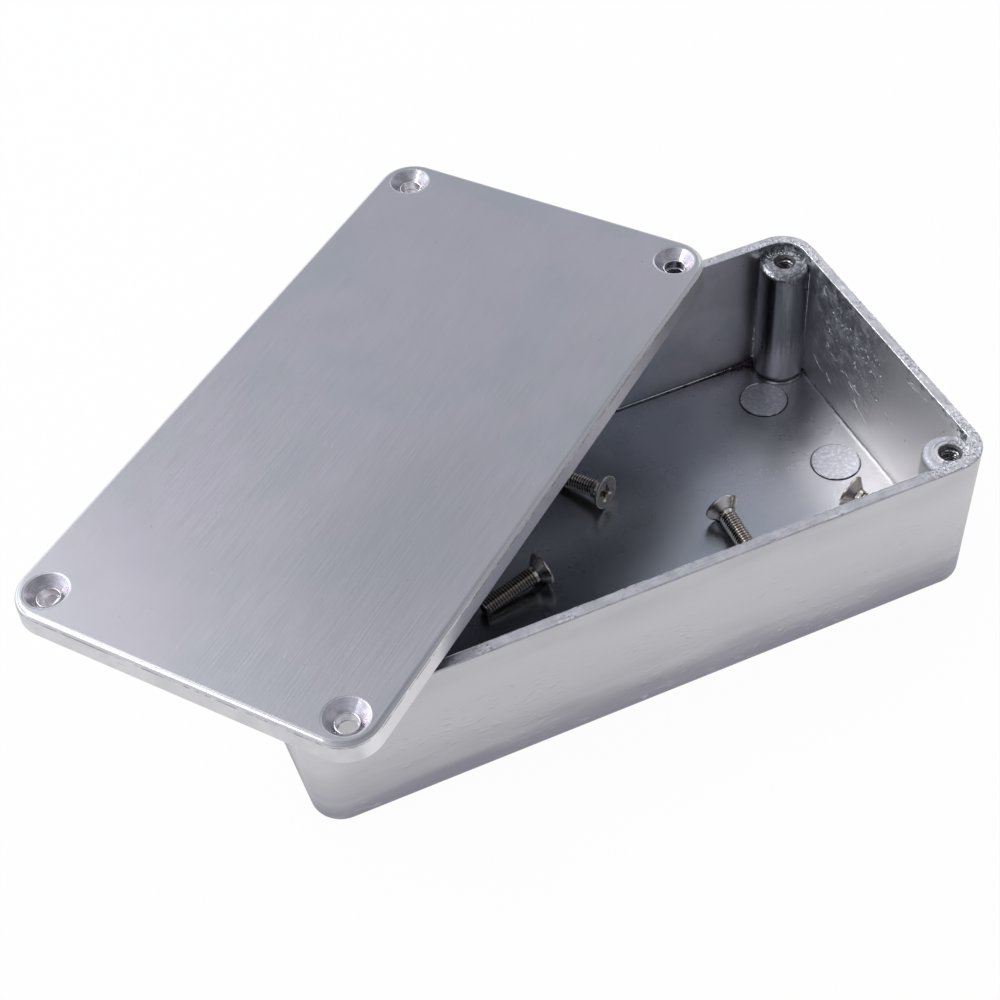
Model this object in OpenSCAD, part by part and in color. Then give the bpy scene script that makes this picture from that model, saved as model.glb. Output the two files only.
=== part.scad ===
// Die cast aluminium box with a screw-down lid, shown open.
// The lid lies askew on the rim and its four countersunk screws lie loose on the floor.
// The origin is the middle of the underside. X runs along the length and Z points up.

/* [Box] */
// Outside length at the rim
box_l = 112; // [100:1:130]
// Outside width at the rim
box_w = 60; // [54:1:80]
// Height of the box without its lid
box_h = 28; // [24:1:40]
// Outside radius of the upright corners at the rim
corner_r = 5.8; // [5.4:0.1:7]
// Lean of the outside walls, in degrees
draft = 2; // [0.5:0.5:2.5]
// Rounding between the outside walls and the underside
foot_r = 1.6; // [0.5:0.1:1.8]
// Width of the ground flat rim, which is the wall's thickness there
rim_w = 1.8; // [1.6:0.1:2]
// Lean of the inside walls, in degrees
inner_draft = 0.5; // [0.2:0.1:1]
// Thickness of the floor
floor_t = 2.5; // [2:0.1:4]
// Width of the groove that the mould's core left around the floor, at the foot of the walls and bosses
groove_w = 0.5; // [0.5:0.1:1]
// Depth of that groove, whose sides stand at 45 degrees
groove_depth = 0.2; // [0.05:0.05:0.2]
// Small bevel on the rim's two edges and on the lid's lower edge
edge_break = 0.15; // [0.05:0.05:0.3]

/* [Screw bosses] */
// Distance of each screw's axis from the two outside walls beside it
screw_inset = 5; // [4.8:0.1:6]
// Metal left around a screw's thread at the top of its boss
boss_wall = 2.7; // [2:0.1:3]
// Rounding of a boss's top edge
boss_edge_r = 1.1; // [0.2:0.1:1.2]
// Lean of a boss's side, in degrees
boss_draft = 0.5; // [0.2:0.1:1]
// Depth of the drilled hole below its boss's top, without the drill's point
drill_depth = 13; // [12:1:16]
// Depth to which the hole is tapped
tap_depth = 10; // [6:1:11]
// Widening at the mouth of a tapped hole, on the radius
tap_chamfer = 0.3; // [0.1:0.05:0.5]

/* [Ejector pin marks] */
// Diameter of the round pads that the mould's pins left on the floor
pin_mark_d = 8.1; // [4:0.1:9]
// Height of a pad above the floor
pin_mark_h = 0.2; // [0.1:0.05:0.4]
// Gap between the groove at a boss's foot and the pad beside it
boss_mark_gap = 0.2; // [0.1:0.1:2]
// Gap between the groove at an end wall's foot and the pad at its middle
wall_mark_gap = 1.6; // [0.2:0.1:4]

/* [Lid] */
// Height of the lid's edge
lid_t = 4; // [3.4:0.1:5]
// Thickness of the lid inside its locating lip
plate_t = 3.2; // [2.2:0.1:3.2]
// Rounding of the lid's top edge
lid_edge_r = 0.9; // [0.3:0.1:1.2]
// How far the locating lip stands below the lid's edge
lip_h = 1.6; // [1:0.1:2.5]
// Thickness of the locating lip
lip_w = 1.2; // [0.8:0.1:1.5]
// Play between the locating lip and the inside of the rim
lip_play = 0.3; // [0.15:0.05:0.5]
// Play between the locating lip and the bosses below it when the lid is on
boss_play = 0.2; // [0.1:0.1:0.6]

/* [Lid screws] */
// Thread diameter
screw_d = 3; // [2.5:0.5:3]
// Thread pitch, by which a tapping drill is smaller than the thread
screw_pitch = 0.5; // [0.4:0.05:0.6]
// Length over all
screw_l = 12; // [8:1:16]
// Diameter of the head
head_d = 5.8; // [5.4:0.1:6.2]
// Height of the straight edge around the head
head_edge = 0.3; // [0.1:0.1:0.5]
// Bevel at the tip
tip_bevel = 0.4; // [0.2:0.1:0.6]
// Span of the cross recess at the head's face
recess_span = 3.2; // [2.4:0.1:3.6]
// Width of one arm of the cross recess
recess_arm = 0.75; // [0.5:0.05:0.9]
// Span of the cross recess at its bottom
recess_foot = 0.9; // [0.8:0.1:1.4]
// Depth of the cross recess
recess_depth = 1.5; // [0.8:0.1:1.6]
// Play around a screw's thread in the lid, on the diameter
hole_play = 0.4; // [0.2:0.1:0.8]
// Play around a screw's head in its countersink, on the diameter
sink_play = 0.7; // [0.2:0.1:0.9]

/* [As it lies open] */
// Turn of the lid, in degrees
lid_turn = 37.4; // [34:0.2:40]
// Shift of the lid's middle from the box's, along X
lid_x = -24.8; // [-26:0.2:-22]
// Shift of the lid's middle from the box's, along Y
lid_y = 15.1; // [13:0.2:16]
// Place of the first loose screw's head along X, from the axis of the front right boss
loose_1_x = -41.5; // [-43:0.1:-40]
// Its place along Y, from the same axis
loose_1_y = 33.8; // [32:0.1:35]
// Angle of its tip from X, in degrees
loose_1_angle = 121; // [110:0.5:130]
// Place of the second loose screw's head along X, from the axis of the front right boss
loose_2_x = -57.7; // [-59:0.1:-56]
// Its place along Y, from the same axis
loose_2_y = 23.6; // [22:0.1:25]
// Angle of its tip from X, in degrees
loose_2_angle = 191.5; // [180:0.5:200]
// Place of the third loose screw's head along X, from the axis of the front right boss
loose_3_x = -26.2; // [-28:0.1:-24]
// Its place along Y, from the same axis
loose_3_y = 22.4; // [21:0.1:24]
// Angle of its tip from X, in degrees
loose_3_angle = 270.5; // [262:0.5:278]
// Place of the fourth loose screw's head along X, from the axis of the front right boss
loose_4_x = -6.1; // [-8:0.1:-5.9]
// Its place along Y, from the same axis
loose_4_y = 16; // [15.8:0.1:18]
// Angle of its tip from X, in degrees
loose_4_angle = 293.5; // [285:0.5:294]

/* [Hidden] */
$fn = 72;
// Overlap that lets a cut pass cleanly through a face
cut = 1;
cast_grey = [0.66, 0.66, 0.69];
nickel = [0.72, 0.70, 0.67];
hole_x = box_l / 2 - screw_inset;
hole_y = box_w / 2 - screw_inset;
cavity_r = corner_r - rim_w;
cavity_h = box_h - floor_t;
// How far the inside walls lean in from the rim to the floor
floor_lean = cavity_h * tan(inner_draft);
boss_r = screw_d / 2 + boss_wall;
boss_top = box_h - lip_h - boss_play;
boss_foot_r = boss_r + (boss_top - boss_edge_r - floor_t) * tan(boss_draft);
// Radius of the cavity's corners at the floor, from the same axes as at the rim
wall_foot_r = cavity_r - floor_lean;
tap_r = screw_d / 2;
drill_r = (screw_d - screw_pitch) / 2;
// Half of a drill point's usual angle
drill_half_angle = 59;
clear_r = (screw_d + hole_play) / 2;
sink_r = (head_d + sink_play) / 2;
// A countersink of 90 degrees is as deep as it is wider than its hole
sink_depth = sink_r - clear_r;
head_r = head_d / 2;
shank_r = screw_d / 2;
head_h = head_edge + head_r - shank_r;
// A lying screw rests on its head's edge and on the thread's end, so its axis slopes down to the tip
lie_slope = atan((head_r - shank_r) / (screw_l - tip_bevel - head_edge));
loose = [
    [loose_1_x, loose_1_y, loose_1_angle],
    [loose_2_x, loose_2_y, loose_2_angle],
    [loose_3_x, loose_3_y, loose_3_angle],
    [loose_4_x, loose_4_y, loose_4_angle]
];
corners = [[1, 1, 0], [-1, 1, 90], [-1, -1, 180], [1, -1, 270]];

// Block with round upright corners. The child is the section of its wall, drawn from a corner's axis
// outwards, and z0 to z1 is the height of the flat-sided core.
module rounded_block(l, w, r, z0, z1) {
    ax = l / 2 - r;
    ay = w / 2 - r;
    translate([-ax, -ay, z0]) cube([2 * ax, 2 * ay, z1 - z0]);
    for (side = [0, 1]) mirror([0, side, 0])
        translate([-ax, ay, 0]) rotate([90, 0, 90]) linear_extrude(2 * ax) children();
    for (side = [0, 1]) mirror([side, 0, 0])
        translate([ax, ay, 0]) rotate([90, 0, 0]) linear_extrude(2 * ay) children();
    for (c = corners)
        translate([c[0] * ax, c[1] * ay, 0]) rotate([0, 0, c[2]]) rotate_extrude(angle = 90) children();
}

module at_screw_axes() {
    for (c = corners) translate([c[0] * hole_x, c[1] * hole_y, 0]) children();
}

// Section of the outside wall: a leaning line that runs into a round foot
module wall_section() {
    lean_at_foot = (box_h - foot_r) * tan(draft);
    foot_x = corner_r - lean_at_foot - foot_r / cos(draft);
    translate([foot_x, foot_r]) circle(foot_r);
    polygon([
        [0, 0],
        [foot_x, 0],
        [foot_x + foot_r * cos(draft), foot_r - foot_r * sin(draft)],
        [corner_r - edge_break * tan(draft), box_h - edge_break],
        [corner_r - edge_break, box_h],
        [0, box_h]
    ]);
}

// The space between the walls, which widens by a small bevel at the rim
module cavity() {
    bevel_foot = cavity_r - edge_break * tan(inner_draft);
    rounded_block(box_l - 2 * rim_w, box_w - 2 * rim_w, cavity_r, floor_t, box_h + cut)
        polygon([
            [0, floor_t],
            [wall_foot_r, floor_t],
            [bevel_foot, box_h - edge_break],
            [bevel_foot + edge_break + cut, box_h + cut],
            [0, box_h + cut]
        ]);
}

// Space within the feet of the walls and bosses. Its sides stand in from them by in0 at z0 and by in1 at
// the floor's face, and go straight up from there.
module space_within_feet(z0, in0, in1, top) {
    difference() {
        rounded_block(box_l - 2 * rim_w, box_w - 2 * rim_w, cavity_r, z0, top)
            polygon([
                [0, z0],
                [wall_foot_r - in0, z0],
                [wall_foot_r - in1, floor_t],
                [wall_foot_r - in1, top],
                [0, top]
            ]);
        at_screw_axes() {
            translate([0, 0, z0])
                cylinder(h = floor_t - z0, r1 = boss_foot_r + in0, r2 = boss_foot_r + in1);
            translate([0, 0, floor_t]) cylinder(h = top - floor_t, r = boss_foot_r + in1);
        }
    }
}

// The groove is the space within the feet less the island of floor inside it
module floor_groove() {
    bottom = floor_t - groove_depth;
    difference() {
        space_within_feet(bottom, groove_depth, 0, floor_t + cut);
        space_within_feet(bottom - cut, groove_w - groove_depth - cut, groove_w, floor_t + 2 * cut);
    }
}

// The bosses reach below the floor's face and into the walls, so each is one with them
module bosses() {
    shoulder = boss_r - boss_edge_r;
    at_screw_axes() rotate_extrude() {
        translate([shoulder, boss_top - boss_edge_r]) circle(boss_edge_r);
        polygon([
            [0, floor_t - cut],
            [boss_foot_r + cut * tan(boss_draft), floor_t - cut],
            [boss_r, boss_top - boss_edge_r],
            [shoulder, boss_top],
            [0, boss_top]
        ]);
    }
}

// A drilled hole with its point, opened out to the thread's outside as far as it is tapped
module tapped_holes() {
    point_h = drill_r / tan(drill_half_angle);
    at_screw_axes() translate([0, 0, boss_top]) rotate([180, 0, 0]) {
        cylinder(h = drill_depth, r = drill_r);
        translate([0, 0, drill_depth]) cylinder(h = point_h, r1 = drill_r, r2 = 0);
        translate([0, 0, -cut]) cylinder(h = tap_depth + cut, r = tap_r);
        translate([0, 0, tap_depth]) cylinder(h = tap_r - drill_r, r1 = tap_r, r2 = drill_r);
        cylinder(h = tap_chamfer, r1 = tap_r + tap_chamfer, r2 = tap_r);
    }
}

module pin_mark() {
    translate([0, 0, floor_t - cut]) cylinder(h = pin_mark_h + cut, r = pin_mark_d / 2);
}

// One pad stands diagonally inside each boss, and one at the middle of each end wall
module pin_marks() {
    boss_step = (boss_foot_r + groove_w + boss_mark_gap + pin_mark_d / 2) * cos(45);
    end_x = box_l / 2 - rim_w - floor_lean - groove_w - wall_mark_gap - pin_mark_d / 2;
    for (c = corners) translate([c[0] * (hole_x - boss_step), c[1] * (hole_y - boss_step), 0]) pin_mark();
    for (side = [-1, 1]) translate([side * end_x, 0, 0]) pin_mark();
}

// One casting: drafted walls, floor and four full-height bosses
module box() {
    color(cast_grey) difference() {
        rounded_block(box_l, box_w, corner_r, 0, box_h) wall_section();
        difference() {
            cavity();
            bosses();
            pin_marks();
        }
        floor_groove();
        tapped_holes();
    }
}

// Section of the lid's edge, with a rounded top and a small bevel below
module lid_section() {
    translate([corner_r - lid_edge_r, lid_t - lid_edge_r]) circle(lid_edge_r);
    polygon([
        [0, 0],
        [corner_r - edge_break, 0],
        [corner_r, edge_break],
        [corner_r, lid_t - lid_edge_r],
        [corner_r - lid_edge_r, lid_t],
        [0, lid_t]
    ]);
}

// Straight-sided block that is set in from the lid's outline
module inset_block(inset, z0, z1) {
    r = corner_r - inset;
    rounded_block(box_l - 2 * inset, box_w - 2 * inset, r, z0, z1)
        polygon([[0, z0], [r, z0], [r, z1], [0, z1]]);
}

// The lid in its own place: its edge's lower face at z = 0, its middle at the origin. Its lip drops inside
// the rim and passes over the bosses.
module closed_lid() {
    lip_inset = rim_w + lip_play;
    difference() {
        union() {
            rounded_block(box_l, box_w, corner_r, 0, lid_t) lid_section();
            inset_block(lip_inset, -lip_h, 0);
        }
        inset_block(lip_inset + lip_w, -lip_h - cut, lid_t - plate_t);
        at_screw_axes() {
            translate([0, 0, -lip_h - cut]) cylinder(h = lip_h + lid_t + 2 * cut, r = clear_r);
            translate([0, 0, lid_t - sink_depth])
                cylinder(h = sink_depth + cut, r1 = clear_r, r2 = sink_r + cut);
        }
    }
}

// The lid lies turned on the box, with its lip on the rim
module lid() {
    color(cast_grey)
        translate([lid_x, lid_y, box_h + lip_h]) rotate([0, 0, lid_turn]) closed_lid();
}

// Arm of the cross recess, narrowing towards its bottom
module recess_wing() {
    translate([0, recess_arm / 2, 0]) rotate([90, 0, 0]) linear_extrude(recess_arm)
        polygon([
            [-recess_span / 2, 0],
            [recess_span / 2, 0],
            [recess_foot / 2, recess_depth],
            [-recess_foot / 2, recess_depth]
        ]);
}

// Countersunk screw along +Z, with the face of its head at z = 0
module countersunk_screw() {
    color(nickel) difference() {
        rotate_extrude() polygon([
            [0, 0],
            [head_r, 0],
            [head_r, head_edge],
            [shank_r, head_h],
            [shank_r, screw_l - tip_bevel],
            [shank_r - tip_bevel, screw_l],
            [0, screw_l]
        ]);
        for (turn = [0, 90]) rotate([0, 0, turn]) recess_wing();
    }
}

// A screw as it lies on the floor
module lid_screw(i) {
    place = loose[i - 1];
    face_z = floor_t + head_r * cos(lie_slope) + head_edge * sin(lie_slope);
    translate([hole_x + place[0], place[1] - hole_y, face_z])
        rotate([0, 0, place[2]]) rotate([0, 90 + lie_slope, 0]) countersunk_screw();
}

box();
lid();
lid_screw(1);  // lid_screw_1
lid_screw(2);  // lid_screw_2
lid_screw(3);  // lid_screw_3
lid_screw(4);  // lid_screw_4
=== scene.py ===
"""Finish and studio for an open die cast aluminium box with its lid askew and four loose screws."""
import math

import bpy
import numpy as np
from mathutils import Matrix, Vector


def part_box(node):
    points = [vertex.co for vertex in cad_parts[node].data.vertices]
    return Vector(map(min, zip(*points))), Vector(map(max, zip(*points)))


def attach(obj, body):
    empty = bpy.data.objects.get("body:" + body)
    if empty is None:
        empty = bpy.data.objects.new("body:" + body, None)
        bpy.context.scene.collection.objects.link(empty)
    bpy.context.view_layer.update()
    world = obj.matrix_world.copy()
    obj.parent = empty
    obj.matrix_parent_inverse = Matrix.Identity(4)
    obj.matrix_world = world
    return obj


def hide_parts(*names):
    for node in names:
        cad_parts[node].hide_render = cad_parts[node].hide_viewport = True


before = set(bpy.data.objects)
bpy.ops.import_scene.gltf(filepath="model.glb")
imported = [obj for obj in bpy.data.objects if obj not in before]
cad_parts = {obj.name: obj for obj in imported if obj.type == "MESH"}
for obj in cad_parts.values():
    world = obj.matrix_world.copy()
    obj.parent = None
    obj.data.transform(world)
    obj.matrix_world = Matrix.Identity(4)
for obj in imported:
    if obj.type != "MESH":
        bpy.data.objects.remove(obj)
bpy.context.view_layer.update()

bl_info = {
    "name": "Die Cast Box Finish",
    "version": (1, 0, 0),
    "blender": (4, 5, 0),
    "location": "View3D > Sidebar > Die Cast Box",
    "description": "Gives a die cast aluminium box its cast, linished and machined surfaces",
    "category": "Object",
}

MM = 0.001

# The box, as its own node says: half its length and width, and its height
HALF_L, HALF_W, BOX_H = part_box("box")[1]
LID_LOW, LID_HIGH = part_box("lid")
LID_MIDDLE = (LID_LOW + LID_HIGH) / 2

# Sizes that the casting was drawn with
CORNER_R = 5.8 * MM
RIM_W = 1.8 * MM
FLOOR_Z = 2.5 * MM
INNER_LEAN = math.radians(0.5)
SCREW_INSET = 5 * MM
BOSS_R = 4.2 * MM
BOSS_EDGE_R = 1.1 * MM
BOSS_FLAT_R = BOSS_R - BOSS_EDGE_R
BOSS_TOP = 26.2 * MM
TAP_R = 1.5 * MM
DRILL_R = 1.25 * MM
MOUTH_R = 1.8 * MM
GROOVE_W = 0.5 * MM
MARK_R = 4.05 * MM
MARK_H = 0.2 * MM
MARK_STEP = 6.47 * MM
MARK_END_X = 47.83 * MM
LID_T = 4 * MM
PLATE_T = 3.2 * MM
CLEAR_R = 1.7 * MM
SINK_R = 3.25 * MM
HOLE_X = HALF_L - SCREW_INSET
HOLE_Y = HALF_W - SCREW_INSET
INNER_X = HALF_L - RIM_W
INNER_Y = HALF_W - RIM_W
INNER_R = CORNER_R - RIM_W
CORNERS = ((1, 1), (-1, 1), (-1, -1), (1, -1))


def smooth(t):
    """Smoothstep: 3t^2 - 2t^3 of t cut to 0..1."""
    t = np.clip(t, 0.0, 1.0)
    return t * t * (3.0 - 2.0 * t)


def bump_at(t, middle, width):
    """Bell curve of height 1 around middle."""
    return np.exp(-(((t - middle) / width) ** 2))


def wall_lean(z):
    """How far an inner wall stands in at a height: the depth below the rim times its angle's tangent."""
    return (BOX_H - z) * math.tan(INNER_LEAN)


# Where the inner walls meet the floor, and where a boss meets the long wall and the end wall
FOOT_X = INNER_X - wall_lean(FLOOR_Z)
FOOT_Y = INNER_Y - wall_lean(FLOOR_Z)
FLASH_R = BOSS_R + 0.1 * MM
BOSS_X = HOLE_X - math.sqrt(FLASH_R**2 - (INNER_Y - HOLE_Y - 0.1 * MM) ** 2)
BOSS_Y = HOLE_Y - math.sqrt(FLASH_R**2 - (INNER_X - HOLE_X - 0.1 * MM) ** 2)


def lattice_noise(points, cell, seed):
    """Noise from -1 to 1: a hashed number at each corner of a cubic lattice, blended inside each cell by
    the product of three smoothsteps."""
    q = np.asarray(points) / cell
    base = np.floor(q).astype(np.int64)
    t = smooth(q - base)
    total = np.zeros(q.shape[:-1])
    for corner in np.ndindex(2, 2, 2):
        lattice = base + np.array(corner)
        h = (lattice * np.array([73856093, 19349663, 83492791])).sum(-1) + seed * 2654435761
        h = (h ^ (h >> 13)) * 1274126177 & 0xFFFFFFFF
        h = (h ^ (h >> 16)) & 0xFFFF
        weight = np.where(np.array(corner) == 1, t, 1 - t).prod(-1)
        total += weight * (h / 32767.5 - 1)
    return total


def rough(points, cell, seed, layers=3):
    """Lattice noises added up, each with half the cell and half the height of the one before."""
    return sum(
        lattice_noise(points, cell / 2**k, seed + k) / 2**k for k in range(layers)
    ) / (2 - 2 ** (1 - layers))


def shell(rings, own=None, closed=False):
    """One closed surface: rings of points [ring, around, xyz], the end joined to the start or fanned to
    its middle."""
    rings = np.asarray(rings, float)
    return {"rings": rings, "own": rings if own is None else own, "closed": closed}


def shell_faces(rings, closed):
    """Points and faces of a shell. Each quad joins two neighbours on a ring to the same two on the next
    one, and the signed volume, the sum of a.(b x c) / 6 over its triangles, turns the faces outwards."""
    n, m = rings.shape[:2]
    i = np.arange(n if closed else n - 1)[:, None]
    j = np.arange(m)[None, :]
    nxt_i, nxt_j = (i + 1) % n, (j + 1) % m
    quads = np.stack([i * m + j, i * m + nxt_j, nxt_i * m + nxt_j, nxt_i * m + j], -1).reshape(-1, 4)
    points = rings.reshape(-1, 3)
    tris = np.zeros((0, 3), int)
    if not closed:
        k = np.arange(m)
        first = np.stack([np.full(m, n * m), (k + 1) % m, k], -1)
        last = np.stack([np.full(m, n * m + 1), (n - 1) * m + k, (n - 1) * m + (k + 1) % m], -1)
        tris = np.concatenate([first, last])
        points = np.concatenate([points, rings[0].mean(0)[None], rings[-1].mean(0)[None]])
    three = np.concatenate([quads[:, [0, 1, 2]], quads[:, [0, 2, 3]], tris])
    a, b, c = (points[three[:, k]] - points.mean(0) for k in range(3))
    if (a * np.cross(b, c)).sum() < 0:
        quads, tris = quads[:, ::-1], tris[:, ::-1]
    return points, quads, tris


def own_points(part):
    """A shell's own coordinates in the order of its points, with the middles of its end rings."""
    own = part["own"]
    flat = own.reshape(-1, 3)
    return flat if part["closed"] else np.concatenate([flat, own[0].mean(0)[None], own[-1].mean(0)[None]])


def add_piece(name, shells, material, sharp=40):
    """Puts shells into one mesh object that rides on the box, with their own coordinates as attribute
    'own'."""
    points, faces, own, start = [], [], [], 0
    for part in shells:
        p, quads, tris = shell_faces(part["rings"], part["closed"])
        faces += (quads + start).tolist() + (tris + start).tolist()
        points.append(p)
        own.append(own_points(part))
        start += len(p)
    mesh = bpy.data.meshes.new(name)
    mesh.from_pydata(np.concatenate(points).tolist(), [], faces)
    attribute = mesh.attributes.new("own", "FLOAT_VECTOR", "POINT")
    attribute.data.foreach_set("vector", np.concatenate(own).astype(np.float32).ravel())
    mesh.materials.append(material)
    mesh.shade_smooth()
    mesh.set_sharp_from_angle(angle=math.radians(sharp))
    obj = bpy.data.objects.new(name, mesh)
    bpy.context.scene.collection.objects.link(obj)
    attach(obj, "root")
    return obj


def bead(path, across, up, radius, lump=0.0, cell=0.3 * MM, seed=1, around=10):
    """Round bead along a path. A ring point is path + r(cos a across + sin a up), with r swollen by
    noise."""
    a = np.linspace(0, 2 * np.pi, around, endpoint=False)[None, :, None]
    radius = np.broadcast_to(radius, len(path))[:, None]
    ray = np.cos(a) * across[:, None] + np.sin(a) * up[:, None]
    plain = path[:, None] + ray * radius[..., None]
    swell = 1 + lump * rough(plain, cell, seed)
    return path[:, None] + ray * (radius * swell)[..., None]


ALONG_X, ALONG_Y, UPWARDS = np.eye(3)


def all_along(path, direction):
    """The same direction for every point of a path."""
    return np.broadcast_to(direction, path.shape)


def straight(start, end, step):
    """Evenly spaced points from start to end."""
    start, end = np.array(start, float), np.array(end, float)
    n = max(3, int(np.linalg.norm(end - start) / step) + 1)
    return start + (end - start) * np.linspace(0, 1, n)[:, None]


def rounded_outline(half_x, half_y, radius, step):
    """Points and outward directions of a rectangle with round corners. A point is the corner's axis plus
    radius times the direction, and each side runs straight from one corner's last point to the next one's
    first."""
    centres = np.array(CORNERS) * [half_x - radius, half_y - radius]
    turns = np.linspace(0, np.pi / 2, max(6, int(radius * np.pi / 2 / step)) + 1)
    points, normals = [], []
    for k in range(4):
        angle = turns + k * np.pi / 2
        normal = np.stack([np.cos(angle), np.sin(angle)], -1)
        arc = centres[k] + radius * normal
        after = centres[(k + 1) % 4] + radius * normal[-1]
        side = straight(arc[-1], after, step)[1:-1]
        points += [arc, side]
        normals += [normal, np.broadcast_to(normal[-1], side.shape)]
    return np.concatenate(points), np.concatenate(normals)


def lift(flat, z):
    """Adds a height to points of the plane."""
    return np.concatenate([flat, np.broadcast_to(np.asarray(z, float), len(flat))[:, None]], -1)


class Value:
    """A number, colour or direction that nodes work out. Numbers are added, subtracted, multiplied and
    divided as in a plain sum."""

    def __init__(self, look, socket):
        self.look = look
        self.socket = socket

    def __add__(self, other):
        return self.look.math("ADD", self, other)

    def __sub__(self, other):
        return self.look.math("SUBTRACT", self, other)

    def __rsub__(self, other):
        return self.look.math("SUBTRACT", other, self)

    def __mul__(self, other):
        return self.look.math("MULTIPLY", self, other)

    def __truediv__(self, other):
        return self.look.math("DIVIDE", self, other)

    def __abs__(self):
        return self.look.math("ABSOLUTE", self)


class Look:
    """The nodes of a material or of the world under construction, with short calls for them."""

    def __init__(self, owner):
        self.owner = owner
        owner.use_nodes = True
        self.tree = owner.node_tree
        self.tree.nodes.clear()

    def node(self, kind, inputs=None, **settings):
        """A new node. Its inputs are plain or worked out, by name or index."""
        node = self.tree.nodes.new(kind)
        for key, value in settings.items():
            setattr(node, key, value)
        for key, value in (inputs or {}).items():
            if isinstance(value, Value):
                self.tree.links.new(value.socket, node.inputs[key])
            else:
                node.inputs[key].default_value = value
        return node

    def out(self, kind, output, inputs=None, **settings):
        """One output of a new node, by name or index."""
        return Value(self, self.node(kind, inputs, **settings).outputs[output])

    def math(self, operation, *values):
        return self.out("ShaderNodeMath", 0, dict(enumerate(values)), operation=operation)

    def larger(self, a, b):
        return self.math("MAXIMUM", a, b)

    def smaller(self, a, b):
        return self.math("MINIMUM", a, b)

    def vector(self, operation, a, b):
        """Product of two vectors: a number for DOT_PRODUCT, a vector for MULTIPLY."""
        output = "Value" if operation == "DOT_PRODUCT" else "Vector"
        return self.out("ShaderNodeVectorMath", output, {0: a, 1: b}, operation=operation)

    def length(self, x, y):
        """Length of a flat vector."""
        return self.out("ShaderNodeVectorMath", "Value", {0: self.join(x, y)}, operation="LENGTH")

    def ramp(self, value, low, high, to_low=0.0, to_high=1.0):
        """Smooth step from to_low at low to to_high at high."""
        inputs = dict(enumerate((value, low, high, to_low, to_high)))
        return self.out("ShaderNodeMapRange", 0, inputs, interpolation_type="SMOOTHSTEP")

    def blend(self, factor, a, b):
        """Number a where factor is 0, b where it is 1."""
        return self.out("ShaderNodeMix", 0, {0: factor, 2: a, 3: b}, data_type="FLOAT")

    def tint(self, factor, a, b):
        """Colour a where factor is 0, b where it is 1."""
        return self.out("ShaderNodeMix", 2, {0: factor, 6: a, 7: b}, data_type="RGBA")

    def paint(self, colour, *layers):
        """A colour with others laid over it in turn, each where its mask is 1."""
        for where, over in layers:
            colour = self.tint(where, colour, over)
        return colour

    def noise(self, vector, scale, detail=3.0, roughness=0.55, distortion=0.0):
        """Noise from 0 to 1, whose grain is about 1 / scale."""
        inputs = {"Vector": vector, "Scale": scale, "Detail": detail, "Roughness": roughness,
                  "Distortion": distortion}
        return self.out("ShaderNodeTexNoise", "Fac", inputs)

    def scaled(self, kind, output, **settings):
        """A node's vector, from metres to millimetres."""
        vector = self.out(kind, output, **settings)
        return self.out("ShaderNodeVectorMath", 0, {0: vector, "Scale": 1 / MM}, operation="SCALE")

    def place(self):
        """Object coordinates in millimetres."""
        return self.scaled("ShaderNodeTexCoord", "Object")

    def own(self):
        """The piece's own coordinates in millimetres."""
        return self.scaled("ShaderNodeAttribute", "Vector", attribute_name="own")

    def split(self, vector):
        """The three numbers of a vector."""
        return [Value(self, socket) for socket in self.node("ShaderNodeSeparateXYZ", {0: vector}).outputs]

    def join(self, x, y, z=0.0):
        return self.out("ShaderNodeCombineXYZ", 0, {0: x, 1: y, 2: z})

    def bump(self, height, distance, strength=1.0):
        """Normal of a height from 0 to 1 that stands for a distance in metres."""
        return self.out("ShaderNodeBump", 0, {"Height": height, "Distance": distance, "Strength": strength})

    def metal(self, colour, roughness, normal, metallic=1.0):
        """Ends the material with one metal surface."""
        inputs = {"Base Color": colour, "Roughness": roughness, "Normal": normal, "Metallic": metallic}
        self.node("ShaderNodeOutputMaterial", {"Surface": self.out("ShaderNodeBsdfPrincipled", 0, inputs)})
        return self.owner


def new_look(name):
    """The look of a new material."""
    return Look(bpy.data.materials.new(name))


def rgb(colour, factor=1.0):
    """Colour as four numbers, made lighter or darker by one factor or by one for each channel."""
    return (*(np.array(colour) * factor), 1.0)


def outline_distance(look, x, y, half_x, half_y, radius):
    """Distance outside a rectangle with round corners: |max(q, 0)| + min(max(qx, qy), 0) - r, where q is
    the point's distance beyond the corners' axes."""
    qx = abs(x) - (half_x - radius) / MM
    qy = abs(y) - (half_y - radius) / MM
    outside = look.length(look.larger(qx, 0.0), look.larger(qy, 0.0))
    inside = look.smaller(look.larger(qx, qy), 0.0)
    return outside + inside - radius / MM


def hole_distance(look, x, y):
    """Distance from the nearest screw's axis, in millimetres."""
    return look.length(abs(x) - HOLE_X / MM, abs(y) - HOLE_Y / MM)


def streaks(look, along, across, length, width, detail=2.0):
    """Noise drawn out along one direction. Its grain is length by width, in millimetres."""
    return look.noise(look.join(along / length, across / width), 1.0, detail)


def colour_of(name, description, default):
    """Setting for a colour."""
    return bpy.props.FloatVectorProperty(
        name=name, description=description, default=default, subtype="COLOR", size=3, min=0, max=1)


def size_of(name, description, default):
    """Setting for a length."""
    return bpy.props.FloatProperty(name=name, description=description, default=default,
                                   subtype="DISTANCE", unit="LENGTH", precision=5, min=0)


def level_of(name, description, default, most=1.0):
    """Setting for a brightness."""
    return bpy.props.FloatProperty(
        name=name, description=description, default=default, subtype="FACTOR", min=0, max=most)


def power_of(name, description, default):
    """Setting for a lamp's power."""
    return bpy.props.FloatProperty(
        name=name, description=description, default=default, subtype="POWER", unit="POWER", min=0)


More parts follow.
